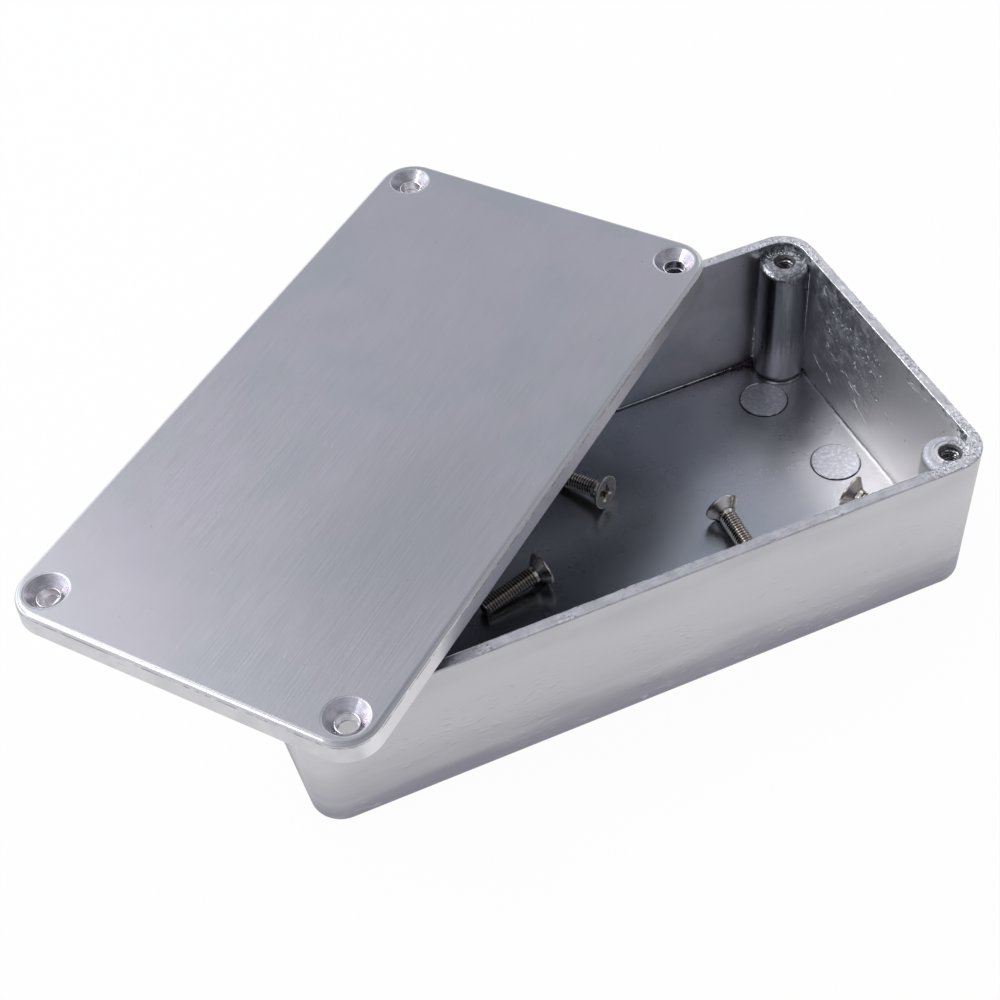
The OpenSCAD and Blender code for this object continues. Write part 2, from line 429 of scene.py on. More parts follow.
class CastingSettings(bpy.types.PropertyGroup):
    """Finish of the box and the lid."""

    linished: colour_of("Linished walls", "Colour of the outside walls", (0.60, 0.585, 0.60))
    # Foot: painted shade, the darker violet where the outside walls reflect the shadowed floor
    foot: colour_of("Foot", "Colour of the outside walls near the bottom", (0.355, 0.345, 0.405))
    lid_top: colour_of("Lid top", "Colour of the lid's linished face", (0.435, 0.410, 0.440))
    lid_cloud: colour_of("Lid clouds", "Colour of the lid's greenish patches", (0.400, 0.405, 0.420))
    lid_edge: colour_of("Lid edge", "Colour of the band around the lid", (0.70, 0.68, 0.685))
    rim: colour_of("Rim", "Colour of the ground rim", (0.535, 0.52, 0.54))
    raw: colour_of("Raw casting", "Colour of the inside, as it left the mould", (0.60, 0.60, 0.632))
    bright: colour_of("Fresh cuts", "Colour of newly cut or torn metal", (0.82, 0.82, 0.84))
    residue: colour_of("Residue", "Colour of burnt release agent in the corners", (0.045, 0.035, 0.05))
    wire_edge: size_of("Wire edge", "Radius of the burr along the rim's edges", 0.12 * MM)
    burr_height: size_of("Burr height", "Height of the burrs on a boss", 0.13 * MM)
    lid_turn: bpy.props.FloatProperty(
        name="Lid turn", description="Turn of the lid on the box", default=math.radians(37.4),
        subtype="ANGLE", unit="ROTATION")


class ScrewSettings(bpy.types.PropertyGroup):
    """Sizes and colour of the countersunk lid screws."""

    nickel: colour_of("Nickel", "Colour of the nickel plating", (0.70, 0.65, 0.59))
    length: size_of("Length", "Length over all", 12 * MM)
    head_r: size_of("Head radius", "Radius of the head", 2.9 * MM)
    shank_r: size_of("Thread radius", "Radius over the thread's crests", 1.5 * MM)
    head_edge: size_of("Head edge", "Height of the straight edge around the head", 0.3 * MM)
    tip_bevel: size_of("Tip bevel", "Bevel at the tip", 0.4 * MM)
    pitch: size_of("Pitch", "Distance from one thread to the next", 0.5 * MM)
    thread_depth: size_of("Thread depth", "Depth of the thread", 0.3 * MM)
    recess_span: size_of("Recess span", "Span of the cross recess at the head's face", 3.7 * MM)
    recess_arm: size_of("Recess arm", "Width of one arm of the cross recess", 0.85 * MM)
    recess_depth: size_of("Recess depth", "Depth of the cross recess", 1.5 * MM)


class StudioSettings(bpy.types.PropertyGroup):
    """Floor, light and camera."""

    floor: colour_of("Floor", "Colour of the floor", (0.9, 0.9, 0.9))
    room: colour_of("Room", "Colour of the room around the box", (0.85, 0.90, 1.0))
    room_front: level_of("Room in front", "Brightness of the room on the camera's side", 0.47)
    room_back: level_of("Room behind", "Brightness of the room behind and to the left", 1.0)
    ceiling: level_of("Ceiling", "Brightness overhead, as a share of the walls'", 0.75)
    horizon: level_of("Horizon", "Brightness added low down behind and to the left", 0.9, 2.0)
    key_power: power_of("Key light", "Power of the soft light behind and to the left", 4.1)
    side_power: power_of("Side light", "Power of the soft light on the left", 1.6)
    low_power: power_of("Low light", "Power of the low soft light behind and to the right", 1.2)
    lens: bpy.props.FloatProperty(
        name="Lens", description="Focal length of the camera", default=70.42,
        subtype="DISTANCE_CAMERA", unit="CAMERA")


def casting_look(name, lid_turn=None):
    """Coordinates shared by the castings' materials: the place and its x, y and z, turned back for the
    lid."""
    look = new_look(name)
    place = look.place()
    if lid_turn is not None:
        middle = (LID_MIDDLE.x / MM, LID_MIDDLE.y / MM, 0)
        turned = {"Vector": place, "Location": middle, "Rotation": (0, 0, lid_turn)}
        place = look.out("ShaderNodeMapping", 0, turned, vector_type="TEXTURE")
    return look, place, *look.split(place)


def wall_finish(look, place, x, y, z, s):
    """Linished outside of the box: broad clouds and level bands, lighter at half height, a darker violet
    foot that is painted shade of the shadowed floor it reflects, and short wavy nicks, each with a painted
    shade just below. Gives the colour, the roughness and the height."""
    level = x + y
    cloud = look.noise(place, 0.05, 3.0)
    band = streaks(look, level, z, 26.0, 3.4)
    fine = streaks(look, level, z, 9.0, 0.2)
    wave = look.noise(place, 0.35, 1.0) * 2.4
    where = look.ramp(z, 21.0, 16.0) * look.ramp(look.noise(place, 0.11, 2.0), 0.40, 0.56)
    lines = (streaks(look, level, z + wave + below, 2.4, 0.5, 1.0) for below in (0.0, 0.5))
    nicked, shade = (look.ramp(line, 0.55, 0.78) * where for line in lines)
    colour = look.paint(
        look.tint(look.ramp(cloud, 0.3, 0.7), rgb(s.linished, 0.94), rgb(s.linished, 1.06)),
        (look.ramp(z, 9.0, 15.0) * look.ramp(z, 26.0, 20.0) * 0.8, rgb(s.linished, 1.15)),
        (look.ramp(band, 0.40, 0.66, 0.0, 0.4), rgb(s.linished, 1.16)),
        # Painted shade: the darker violet foot, and a shade under each nick
        (look.ramp(z + band * 7.0, 13.5, 4.5), rgb(s.foot)),
        (shade * 0.35, rgb(s.foot)),
        (nicked * 0.4, rgb(s.linished, 1.3)),
    )
    return colour, look.ramp(fine, 0.3, 0.7, 0.38, 0.32), fine * 0.5 + nicked * -0.6


def pin_mark_distance(look, x, y):
    """Distance from the middle of the nearest pin mark, in millimetres: the smaller of the distances to
    the corner marks and to the end marks, each taken in the first quarter of the plan."""
    corner = look.length(abs(x) - (HOLE_X - MARK_STEP) / MM, abs(y) - (HOLE_Y - MARK_STEP) / MM)
    end = look.length(abs(x) - MARK_END_X / MM, abs(y))
    return look.smaller(corner, end)


# Soft steps between zones of the box, in millimetres
ON_FLOOR = (3.2, 3.0)
ON_RIGHT_WALL = (53.2, 53.7)
FRONT_HALF = (4.0, -4.0)
BACK_HALF = (-4.0, 4.0)


def raw_skin(look, place, x, y, z, noises, s):
    """Colour of the bare casting: haze, flow, mottling and stains, painted shade of the lid on the left
    part of the floor, a warmer and slightly darker tone on its right part, and painted light on the right
    wall, which is lighter, more so in its cloudy patches and most towards the front. Also gives where that
    wall is cloudy."""
    haze, mottle, stain = noises
    flow = look.noise(place, 0.05, 2.0, 0.5, 0.5)
    on_floor, right_wall = look.ramp(z, *ON_FLOOR), look.ramp(x, *ON_RIGHT_WALL)
    cloudy = (right_wall * look.ramp(look.noise(place, 0.33, 4.0, 0.65, 0.4), 0.47, 0.60)
              * look.ramp(y, 22.0, 18.0) * look.ramp(y, -12.0, 0.0) * look.ramp(z, 6.0, 12.0))
    colour = look.tint(look.ramp(haze, 0.32, 0.68), rgb(s.raw, 0.88), rgb(s.raw, 1.06))
    for where, factor in (
        (look.ramp(flow, 0.35, 0.65, 0.0, 0.5), (0.97, 0.90, 0.97)),
        (look.ramp(mottle, 0.5, 0.8, 0.0, 0.3), 0.75),
        (look.ramp(stain, 0.50, 0.66) * look.blend(right_wall, 0.35, 0.6), (0.72, 0.82, 0.88)),
        (look.ramp(stain, 0.44, 0.32) * look.blend(right_wall, 0.2, 0.7), (1.12, 1.04, 1.12)),
        # Painted shade of the lid on the floor's left part; painted light on the right wall, most towards the
        # front
        (on_floor * look.ramp(x, 42.0, 24.0) * 0.85, (0.62, 0.66, 0.69)),
        (on_floor * look.ramp(x, 28.0, 44.0) * 0.85, (0.84, 0.82, 0.79)),
        (right_wall * 0.6, 1.15),
        (cloudy * 0.8, 1.4),
        (right_wall * look.ramp(y, 13.0, -5.0) * 0.95, (1.62, 1.60, 1.52)),
    ):
        colour = look.tint(where, colour, rgb(s.raw, factor))
    return colour, cloudy


def pin_mark_layers(look, place, x, y, z, colour, s):
    """Pin marks: a turned and scratched face, and a dark line of painted shade round each mark's step. The
    floor's groove is painted dark for its shade too. Gives the colour, the faces and the groove."""
    mark = pin_mark_distance(look, x, y)
    on_floor = look.ramp(z, *ON_FLOOR)
    r = MARK_R / MM
    face = look.ramp(mark, r, r - 0.05) * on_floor
    turned = streaks(look, y * 0.8 - x * 0.6, x * 0.8 + y * 0.6, 4.0, 0.3)
    scratched = face * look.ramp(look.noise(place, 1.5, 4.0, 0.7), 0.48, 0.62)
    colour = look.paint(
        colour,
        (face * 0.6, rgb(s.raw, 1.2)),
        (face * look.ramp(turned, 0.55, 0.7) * 0.6, rgb(s.raw, 0.65)),
        (scratched * 0.7, rgb(s.bright, 1.1)),
    )
    # Painted shade: a dark line round each pin mark's step, and the groove painted nearly black
    line = (look.ramp(abs(mark - (r + 0.06)), 0.2, 0.09) * on_floor
            * look.ramp(look.noise(place, 0.35, 2.0), 0.28, 0.42))
    below_floor = look.ramp(z, FLOOR_Z / MM - 0.08, FLOOR_Z / MM - 0.16)
    groove = below_floor * look.ramp(hole_distance(look, x, y), 5.2, 5.8)
    return look.tint(look.larger(line * 0.9, groove), colour, rgb((0.05, 0.045, 0.06))), face, groove


def boss_layers(look, place, x, y, z, mottle, colour, s):
    """Bosses: painted shade on the smooth columns at the back and painted light on the ones in front, painted
    shade at the foot, a scuffed upper edge that is darker on the back bosses, and painted shade in the hole.
    Gives the colour, the columns, the holes and the height of the scuffs."""
    boss = hole_distance(look, x, y)
    # Painted shade on the back columns
    column = look.ramp(boss, 4.34, 4.28) * look.ramp(z, 27.0, 26.0) * look.ramp(y, *BACK_HALF)
    colour = look.tint(column * 0.9, colour, rgb(s.raw, (0.46, 0.48, 0.49)))
    # Painted light beside the front bosses
    beside_front = (look.ramp(boss, 4.7, 4.4) * look.ramp(y, *FRONT_HALF) * look.ramp(z, 10.0, 20.0)
                    * look.ramp(z, 25.6, 24.6) * 0.85)
    colour = look.tint(beside_front, colour, rgb(s.raw, (1.50, 1.45, 1.38)))
    # Painted shade at the boss's foot
    foot = look.ramp(boss, 5.2, 4.5) * look.ramp(z, 3.6, 2.9) * look.ramp(mottle, 0.66, 0.5)
    colour = look.tint(foot * 0.75, colour, rgb(s.raw, 0.25))
    speck = look.noise(place, 2.2, 3.0, 0.7)
    scuff = look.ramp(boss, 4.7, 4.3) * look.ramp(z + mottle * 4.0, 26.2, 28.0)
    colour = look.paint(
        colour,
        (scuff * look.ramp(y, *BACK_HALF) * 0.7, rgb(s.raw, 0.35)),
        (scuff * look.ramp(speck, 0.52, 0.6) * 0.7, rgb(s.bright)),
    )
    # Painted shade down the tapped hole
    painted_hole_shade = look.ramp(boss, MOUTH_R / MM + 0.05, MOUTH_R / MM) * look.ramp(z, 27.0, 26.6)
    return look.tint(painted_hole_shade, colour, rgb(s.raw, 0.22)), column, painted_hole_shade, scuff * speck * 2.5


def right_wall_layers(look, place, x, y, z, stain, colour, s):
    """Right wall: light and dark flow marks that fall gently towards the front, and over them crumbly
    patches from the back boss towards the front and along the rim. Gives the colour and the heights of
    both."""
    right_wall = look.ramp(x, *ON_RIGHT_WALL)
    fall = z - y * 0.22
    thread = streaks(look, y, fall, 3.2, 0.30, 3.0)
    flowed = (right_wall * look.ramp(y, 21.0, 17.0) * look.ramp(y, -4.0, 6.0) * look.ramp(fall, 24.5, 20.0)
              * look.ramp(fall, 3.0, 7.0) * look.ramp(look.noise(place, 0.16, 3.0, 0.6), 0.42, 0.58))
    colour = look.paint(
        colour,
        (look.ramp(thread, 0.46, 0.36) * flowed * 0.4, rgb(s.raw, (0.42, 0.48, 0.52))),
        (look.ramp(thread, 0.5, 0.6) * flowed * 0.9, rgb(s.bright, 1.15)),
    )

    lump = look.noise(look.vector("MULTIPLY", place, (1.0, 0.6, 1.0)), 1.1, 4.0, 0.68)
    crumbly = (right_wall * look.ramp(y, 22.0, 19.5) * look.ramp(z + stain * 14.0, 24.0, 31.0)
               * look.larger(look.ramp(y, -8.0, 8.0), look.ramp(z, 25.5, 27.6)))
    colour = look.tint(look.ramp(lump, 0.48, 0.38) * crumbly * 0.55, colour, rgb(s.raw, (0.35, 0.42, 0.45)))
    torn = look.ramp(lump, 0.52, 0.62) * crumbly
    return look.tint(torn * 0.65, colour, rgb(s.bright)), lump * crumbly * 4.0, thread * flowed * 5.0


def raw_finish(look, place, x, y, z, s):
    """Raw inside: the bare skin with pits and a darker back crease, the pin marks, the bosses and the right
    wall's marks, laid over each other in that order."""
    haze = look.noise(place, 0.085, 4.0, 0.6, 0.15)
    mottle = look.noise(place, 0.8, 4.0, 0.6)
    stain = look.noise(place, 0.22, 4.0, 0.62, 0.3)
    pit = look.ramp(look.noise(place, 1.3, 2.0, 0.5), 0.73, 0.78)
    right_wall = look.ramp(x, *ON_RIGHT_WALL)
    colour, cloudy = raw_skin(look, place, x, y, z, (haze, mottle, stain), s)
    colour = look.tint(pit * 0.6, colour, rgb(s.raw, 0.35))

    # Darker near the back crease, more so towards the right boss
    near_back, near_foot = look.ramp(y - mottle * 3.0, 22.5, 27.0), look.ramp(z + mottle * 3.0, 7.0, 3.0)
    crease_dark = near_back * near_foot * look.ramp(abs(x), 20.0, 47.0, 0.15, 0.75)
    colour = look.tint(crease_dark, colour, rgb((0.16, 0.13, 0.155)))

    colour, face, groove = pin_mark_layers(look, place, x, y, z, colour, s)
    colour, column, painted_hole_shade, scuffs = boss_layers(look, place, x, y, z, mottle, colour, s)
    colour, crumbs, flow_marks = right_wall_layers(look, place, x, y, z, stain, colour, s)

    roughness = look.blend(look.ramp(z, 3.2, 3.8), look.ramp(haze, 0.3, 0.7, 0.25, 0.31),
                           look.ramp(stain, 0.35, 0.65, 0.35, 0.41))
    front_part = right_wall * look.ramp(y, 12.0, -8.0)
    front_boss = (look.ramp(hole_distance(look, x, y), 4.5, 4.3) * look.ramp(y, *FRONT_HALF)
                  * look.ramp(z, 16.0, 22.0))
    # Rougher where the crease is darker and where the groove and the holes carry painted shade
    darkened_zones = look.larger(look.larger(crease_dark, groove), painted_hole_shade)
    for where, value in (
        (cloudy, 0.55), (front_part, 0.50), (face, 0.42), (column, 0.17), (front_boss, 0.62), (darkened_zones, 0.6),
    ):
        roughness = look.blend(where, roughness, value)
    height = look.blend(0.35, mottle, haze) - pit * 1.5 + stain * right_wall * 2.0
    return colour, roughness, height + crumbs + flow_marks + scuffs


def rim_finish(look, place, x, y, inner, s):
    """Ground rim: fine scratches along its run, mottled, chewed along the inner edge near the bosses, with
    a few torn spots and with dark nicks at its outer edge. Gives the colour, the roughness and the
    height."""
    level = x + y
    hole = hole_distance(look, x, y)
    run = streaks(look, level, inner, 3.5, 0.22)
    patch = look.noise(place, 0.35, 3.0)
    mottle = look.noise(place, 1.1, 3.0, 0.6)
    grain = look.noise(place, 1.9, 3.0, 0.68)
    spots = look.ramp(look.noise(place, 0.16, 2.0), 0.60, 0.66)
    near_boss = look.blend(look.ramp(hole, 10.5, 5.0), 0.08, 1.0)
    inner_half = look.blend(look.ramp(inner, 1.5, 0.4), 0.3, 1.0)
    beside_front_boss = look.ramp(hole, 9.5, 6.5) * look.ramp(y, -8.0, -20.0) * 0.9
    chewed = look.larger(look.larger(inner_half * near_boss, spots * 0.8), beside_front_boss)
    nick = (look.ramp(streaks(look, level, inner, 1.4, 0.34, 2.0), 0.66, 0.72)
            * look.ramp(look.noise(place, 0.13, 2.0), 0.46, 0.56)
            * look.blend(look.ramp(inner, 1.2, 1.5), 0.5, 1.0))
    colour = look.paint(
        look.tint(look.ramp(patch, 0.3, 0.7), rgb(s.rim, 0.84), rgb(s.rim, 1.12)),
        (look.ramp(mottle, 0.45, 0.7, 0.0, 0.45), rgb(s.rim, 0.68)),
        (look.ramp(run, 0.4, 0.7, 0.0, 0.35), rgb(s.rim, 1.4)),
        (look.ramp(grain, 0.53, 0.63) * chewed * 0.9, rgb(s.bright)),
        (look.ramp(grain, 0.46, 0.38) * chewed * 0.85, rgb(s.rim, 0.28)),
        (nick * 0.8, rgb(s.rim, 0.3)),
    )
    height = run * 0.5 + grain * (chewed * 4.0) + mottle * 0.5 - nick
    return colour, look.blend(chewed, 0.38, 0.28), height


def box_material(s):
    """Linished, raw and ground zones of the box, told apart by the distance from the rim's inner outline."""
    look, place, x, y, z = casting_look("cast_box")
    inner = outline_distance(look, x, y, INNER_X, INNER_Y, INNER_R)
    inside = look.ramp(inner, 0.45, 0.30) * look.ramp(z, 1.6, 2.0)
    rim = look.ramp(z, 27.75, 27.85) * (1.0 - look.ramp(inner, 0.05, -0.02))
    outer = wall_finish(look, place, x, y, z, s)
    raw = raw_finish(look, place, x, y, z, s)
    top = rim_finish(look, place, x, y, inner, s)
    colour = look.tint(rim, look.tint(inside, outer[0], raw[0]), top[0])
    roughness, height = (look.blend(rim, look.blend(inside, outer[k], raw[k]), top[k]) for k in (1, 2))
    return look.metal(colour, roughness, look.bump(height, 0.03 * MM, 0.8))


def lid_top(look, place, u, v, fine, patch, s):
    """Linished face of the lid: clouds, one dull area, fine lines along it, a few scratches at an angle to
    them and tiny pits. Gives the colour and the pits."""
    cloud = look.noise(place, 0.03, 2.0, 0.5, 0.8)
    swing = math.radians(14)
    scratch = streaks(look, u, v * math.cos(swing) - u * math.sin(swing), 4.0, 0.22, 1.0)
    scratch = look.ramp(scratch, 0.70, 0.78) * look.ramp(look.noise(place, 0.2, 2.0), 0.54, 0.66)
    dull = look.ramp(look.length((u + 20.0) / 24.0, (v + 16.0) / 15.0), 1.3, 0.2) * 0.6
    pit = look.ramp(look.noise(place, 1.0, 2.0, 0.5), 0.74, 0.80)
    colour = look.paint(
        look.tint(look.ramp(cloud, 0.38, 0.62), rgb(s.lid_top), rgb(s.lid_cloud)),
        (look.ramp(patch, 0.3, 0.75, 0.0, 0.3), rgb(s.lid_top, 1.12)),
        (dull, rgb(s.lid_cloud, 0.86)),
        (look.ramp(fine, 0.35, 0.8, 0.0, 0.14), rgb(s.lid_top, 0.8)),
        (scratch * 0.3, rgb(s.bright)),
        (pit * 0.4, rgb(s.lid_top, 0.6)),
    )
    return colour, pit


def lid_band(look, place, u, v, z, edge, top_z, s):
    """Side band of the lid: a smooth grain, painted light on the long sides, a few level dents, and a
    broken dark line of painted reflection where the rounded edge runs out into it. Gives the colour and
    the height."""
    grain = look.noise(place, 0.35, 3.0, 0.6)
    dent = streaks(look, u + v, z, 3.5, 0.5, 1.0)
    dent = look.ramp(dent, 0.70, 0.76) * look.ramp(look.noise(place, 0.12, 2.0), 0.48, 0.58)
    line = (look.ramp(abs(z - (top_z - 0.72)), 0.17, 0.07) * look.ramp(edge, -0.6, -0.4)
            * look.ramp(look.noise(place, 0.4, 3.0, 0.7), 0.36, 0.60))
    colour = look.paint(
        look.tint(look.ramp(grain, 0.3, 0.7), rgb(s.lid_edge, 0.95), rgb(s.lid_edge, 1.05)),
        # Painted light on the long sides, and a dark painted reflection along the line under the rounded edge
        (look.ramp(abs(v), HALF_W / MM - 1.6, HALF_W / MM - 0.2), rgb(s.lid_edge, 1.4)),
        (dent * 0.6, rgb(s.lid_edge, 0.6)),
        (line * 0.8, rgb(s.lid_edge, 0.42)),
    )
    return colour, grain - dent


def countersink(look, place, hole, s):
    """Countersinks of the lid: turned rings, clouds and a few chips. Gives the colour and the height."""
    ring = look.noise(look.join(hole * 3.0, 0.0), 1.0, 2.0)
    chip = look.ramp(look.noise(place, 1.3, 2.0, 0.6), 0.64, 0.72)
    cloud = look.noise(place, 0.5, 3.0, 0.6)
    colour = look.paint(
        look.tint(look.ramp(cloud, 0.35, 0.65), rgb(s.lid_top, 1.25), rgb(s.lid_top, 1.85)),
        (look.ramp(ring, 0.3, 0.7, 0.0, 0.25), rgb(s.lid_top, 0.7)),
        (chip * 0.7, rgb(s.bright)),
    )
    return colour, (ring + chip) * 0.8


def lid_material(s):
    """The lid: linished on top, smooth round its side, rubbed along its rounded edge and painted lighter
    there for its sheen, turned in the countersinks with a painted highlight round their lips, and raw
    underneath.
    The outline, the holes and the height tell these zones apart."""
    look, place, u, v, z = casting_look("cast_lid", s.lid_turn)
    top_z, low_z, sink_r = LID_HIGH.z / MM, LID_HIGH.z / MM - LID_T / MM, SINK_R / MM
    edge, hole = outline_distance(look, u, v, HALF_L, HALF_W, CORNER_R), hole_distance(look, u, v)
    sink = look.ramp(hole, sink_r + 0.02, sink_r - 0.04) * look.ramp(z, top_z - 0.01, top_z - 0.06)
    side = look.ramp(edge, -0.5, -0.25) * look.ramp(z, top_z - 0.35, top_z - 0.6)
    pocket = look.ramp(edge, -2.0, -2.4) * look.ramp(z, top_z - 2.0, top_z - 3.0)
    under = look.larger(look.ramp(z, low_z + 0.2, low_z - 0.05), pocket)
    wear_and_sheen = look.ramp(edge, -0.75, -0.35) * look.ramp(z, top_z - 0.5, top_z - 0.3)
    lip = look.ramp(abs(hole - (sink_r + 0.05)), 0.14, 0.05) * look.ramp(z, top_z - 0.3, top_z - 0.2)
    patch = look.noise(place, 0.11, 3.0, 0.6)
    fine = streaks(look, u, v, 9.0, 0.3)

    top, pit = lid_top(look, place, u, v, fine, patch, s)
    band, band_height = lid_band(look, place, u, v, z, edge, top_z, s)
    cone, cone_height = countersink(look, place, hole, s)
    colour = look.paint(
        top,
        (side, band),
        (under, look.tint(look.ramp(patch, 0.3, 0.7), rgb(s.raw, 0.85), rgb(s.raw))),
        (sink, cone),
        # Painted sheen on the rounded edge, and a painted highlight round the countersinks' lips
        (wear_and_sheen * look.ramp(z, top_z - 0.55, top_z - 0.35), rgb(s.lid_edge, 1.05)),
        (lip * 0.3, rgb(s.bright)),
    )
    roughness = look.blend(wear_and_sheen, look.ramp(fine, 0.3, 0.7, 0.40, 0.34), 0.18)
    roughness = look.blend(sink, look.blend(side, roughness, 0.44), 0.27)
    height = look.blend(side, fine - pit * 0.6, band_height) * (1.0 - wear_and_sheen)
    height = look.blend(sink, height, cone_height) + look.ramp(hole, sink_r, sink_r + 0.3, -4.0, 0.0)
    return look.metal(colour, roughness, look.bump(height, 0.03 * MM, 0.5))


def torn_material(s):
    """Torn skin: dark, with a few bright faces on its lumps."""
    look = new_look("torn_metal")
    place = look.place()
    grain = look.noise(place, 1.3, 4.0, 0.62, 0.5)
    fine = look.noise(place, 3.2, 2.0, 0.6)
    colour = look.paint(
        look.tint(look.ramp(grain, 0.44, 0.60), rgb(s.raw, (0.20, 0.25, 0.26)), rgb(s.raw, 0.8)),
        (look.ramp(grain, 0.54, 0.62) * look.ramp(fine, 0.48, 0.60), rgb(s.bright)),
    )
    return look.metal(colour, look.ramp(grain, 0.3, 0.7, 0.45, 0.28), look.bump(grain + fine * 0.4, 0.2 * MM))


def boss_face_material(s):
    """Face of a boss, by the skin's own radius, height and chewing: medium grey with a grain, painted light
    on the front bosses, bright along its thin burrs and on the tops of its lumps, and painted shade in the
    hollows and round the back ones."""
    look = new_look("boss_face")
    radius, proud, chewed = look.split(look.own())
    place = look.place()
    grain = look.noise(place, 2.0, 4.0, 0.66)
    fine = look.noise(place, 4.5, 2.0, 0.6)
    in_front = look.ramp(look.split(place)[1], *FRONT_HALF)
    hollow = look.ramp(proud, 0.03, 0.0) * look.ramp(chewed, 0.2, 0.7)
    tops = look.ramp(proud, 0.055, 0.10) * look.ramp(fine, 0.36, 0.52)
    outer_ring = look.ramp(radius, 3.15, 3.25) * look.ramp(grain, 0.3, 0.6) * (1.0 - in_front) * 0.7
    # Painted light on the front bosses, painted shade in the hollows and in a ring round the back ones
    colour = look.paint(
        look.tint(look.ramp(grain, 0.36, 0.64), rgb(s.raw, 0.32), rgb(s.raw, 0.75)),
        (in_front * 0.75, rgb(s.raw, (1.30, 1.24, 1.17))),
        (hollow * 0.8, rgb(s.raw, 0.16)),
        (tops, rgb(s.bright, 1.05)),
        (outer_ring, rgb(s.raw, 0.2)),
    )
    return look.metal(colour, look.blend(tops, 0.5, 0.22), look.bump(grain + fine * 0.5, 0.12 * MM))


def thread_material(s):
    """Cut thread: dark all over, a painted shade of the hole, in a random tone, with bright spots of
    painted glint.
    """
    look = new_look("cut_thread")
    place = look.place()
    film = look.noise(place, 1.5, 3.0, 0.6)
    glint = look.ramp(look.noise(place, 3.5, 2.0, 0.6), 0.52, 0.62)
    # Painted shade darkens the whole thread; its bright spots are painted glints
    colour = look.tint(look.ramp(film, 0.35, 0.65), rgb(s.raw, 0.14), rgb(s.raw, 0.38))
    colour = look.tint(glint, colour, rgb(s.bright))
    return look.metal(colour, look.blend(glint, 0.34, 0.2), look.bump(film, 0.05 * MM))


def grainy_metal(name, noise, step, low_colour, high_colour, roughness, depth, metallic=1.0):
    """Material of one noise, which takes the surface from one colour and roughness to another and dents
    it."""
    look = new_look(name)
    grain = look.noise(look.place(), *noise)
    colour = look.tint(look.ramp(grain, *step), low_colour, high_colour)
    return look.metal(colour, look.ramp(grain, 0.3, 0.7, *roughness), look.bump(grain, depth), metallic)


def burr_material(s):
    """Thin bright burrs, scuffed along their length."""
    colours = rgb(s.raw, 0.75), rgb(s.bright, 1.1)
    return grainy_metal("bright_burr", (1.0, 3.0, 0.6), (0.32, 0.48), *colours, (0.32, 0.20), 0.02 * MM)


def dull_burr_material(s):
    """Torn skin and slivers on the wall: grey, with brighter scratches."""
    colours = rgb(s.raw, (0.85, 0.87, 0.92)), rgb(s.raw, 1.5)
    return grainy_metal("dull_burr", (1.6, 4.0, 0.65), (0.38, 0.60), *colours, (0.52, 0.38), 0.04 * MM)


def oxide_material(s):
    """Torn crumbs under a grey oxide: matt, with lighter and darker grains."""
    colours = rgb(s.raw, 0.5), rgb((0.92, 0.88, 0.82))
    return grainy_metal("oxide_crumbs", (2.2, 3.0, 0.6), (0.35, 0.55), *colours, (0.6, 0.4), 0.05 * MM, 0.0)


def residue_material(s):
    """Burnt release agent: matt, nearly black crumbs with a violet cast."""
    colours = rgb(s.residue), rgb(s.residue, 3.2)
    return grainy_metal("burnt_residue", (2.5, 4.0, 0.7), (0.45, 0.75), *colours, (0.75, 0.5), 0.1 * MM, 0.4)


def nickel_material(s):
    """Nickel plating with fine turned rings and a dull film of random tone, painted shade on the face,
    between the threads and deep in the recess, and a painted highlight near the top of the recess, by the
    screw's own coordinates with z counted from the face."""
    look = new_look("nickel_plating")
    own = look.own()
    x, y, z = look.split(own)
    radius = look.length(x, y)
    film = look.noise(own, 0.9, 4.0, 0.6)
    root = look.ramp(radius, 1.42, 1.22) * look.ramp(z, 1.7, 2.0)
    recess = look.ramp(z, 0.03, 0.12) * look.ramp(z, 1.9, 1.5) * look.ramp(radius, 1.8, 1.6)
    face = look.ramp(z, 0.05, 0.02) * look.ramp(radius, 2.75, 2.6)
    turned = look.noise(look.join(radius * 6.0, z * 5.0), 1.0, 2.0)
    colour = look.paint(
        look.tint(look.ramp(film, 0.4, 0.75, 0.0, 0.45), rgb(s.nickel), rgb(s.nickel, 0.72)),
        # Painted shade at the thread roots, on the face and deep in the recess; painted highlight near its
        # top
        (root * 0.9, rgb(s.nickel, 0.10)),
        (face * 0.8, rgb(s.nickel, 0.38)),
        (recess * look.ramp(film, 0.42, 0.52), rgb(s.nickel, 1.3)),
        (recess * look.ramp(z, 0.25, 0.5) * 0.85, rgb(s.nickel, 0.2)),
    )
    return look.metal(colour, look.ramp(film, 0.3, 0.8, 0.10, 0.22), look.bump(turned, 0.02 * MM, 0.6))


def shared(name, make, settings):
    """A material by name, made on first use."""
    return bpy.data.materials.get(name) or make(settings)


def thread_shape(turn, crest=0.125, root=0.25):
    """Depth from 0 to 1 of a thread over one turn: flat crest, straight flank, flat root, straight
    flank."""
    t = np.abs(np.mod(turn, 1.0) - 0.5) * 2
    return np.clip((1 - crest - t) / (1 - crest - root), 0, 1)


def recess_shape(x, y, s):
    """Depth of the cross recess. Each arm gets deeper from its end to the middle, its sides are
    smoothsteps, and the arms' roots are rounded out by a bell curve."""
    long_way = np.maximum(np.abs(x), np.abs(y))
    short_way = np.minimum(np.abs(x), np.abs(y))
    foot = 0.45 * MM
    slope = np.clip((s.recess_span / 2 - long_way) / (s.recess_span / 2 - foot), 0, 1)
    half = s.recess_arm / 2 + 0.16 * MM * bump_at(long_way, 0.35 * MM, 0.35 * MM)
    side = 0.07 * MM
    return s.recess_depth * slope * smooth((half + side - short_way) / (2 * side))


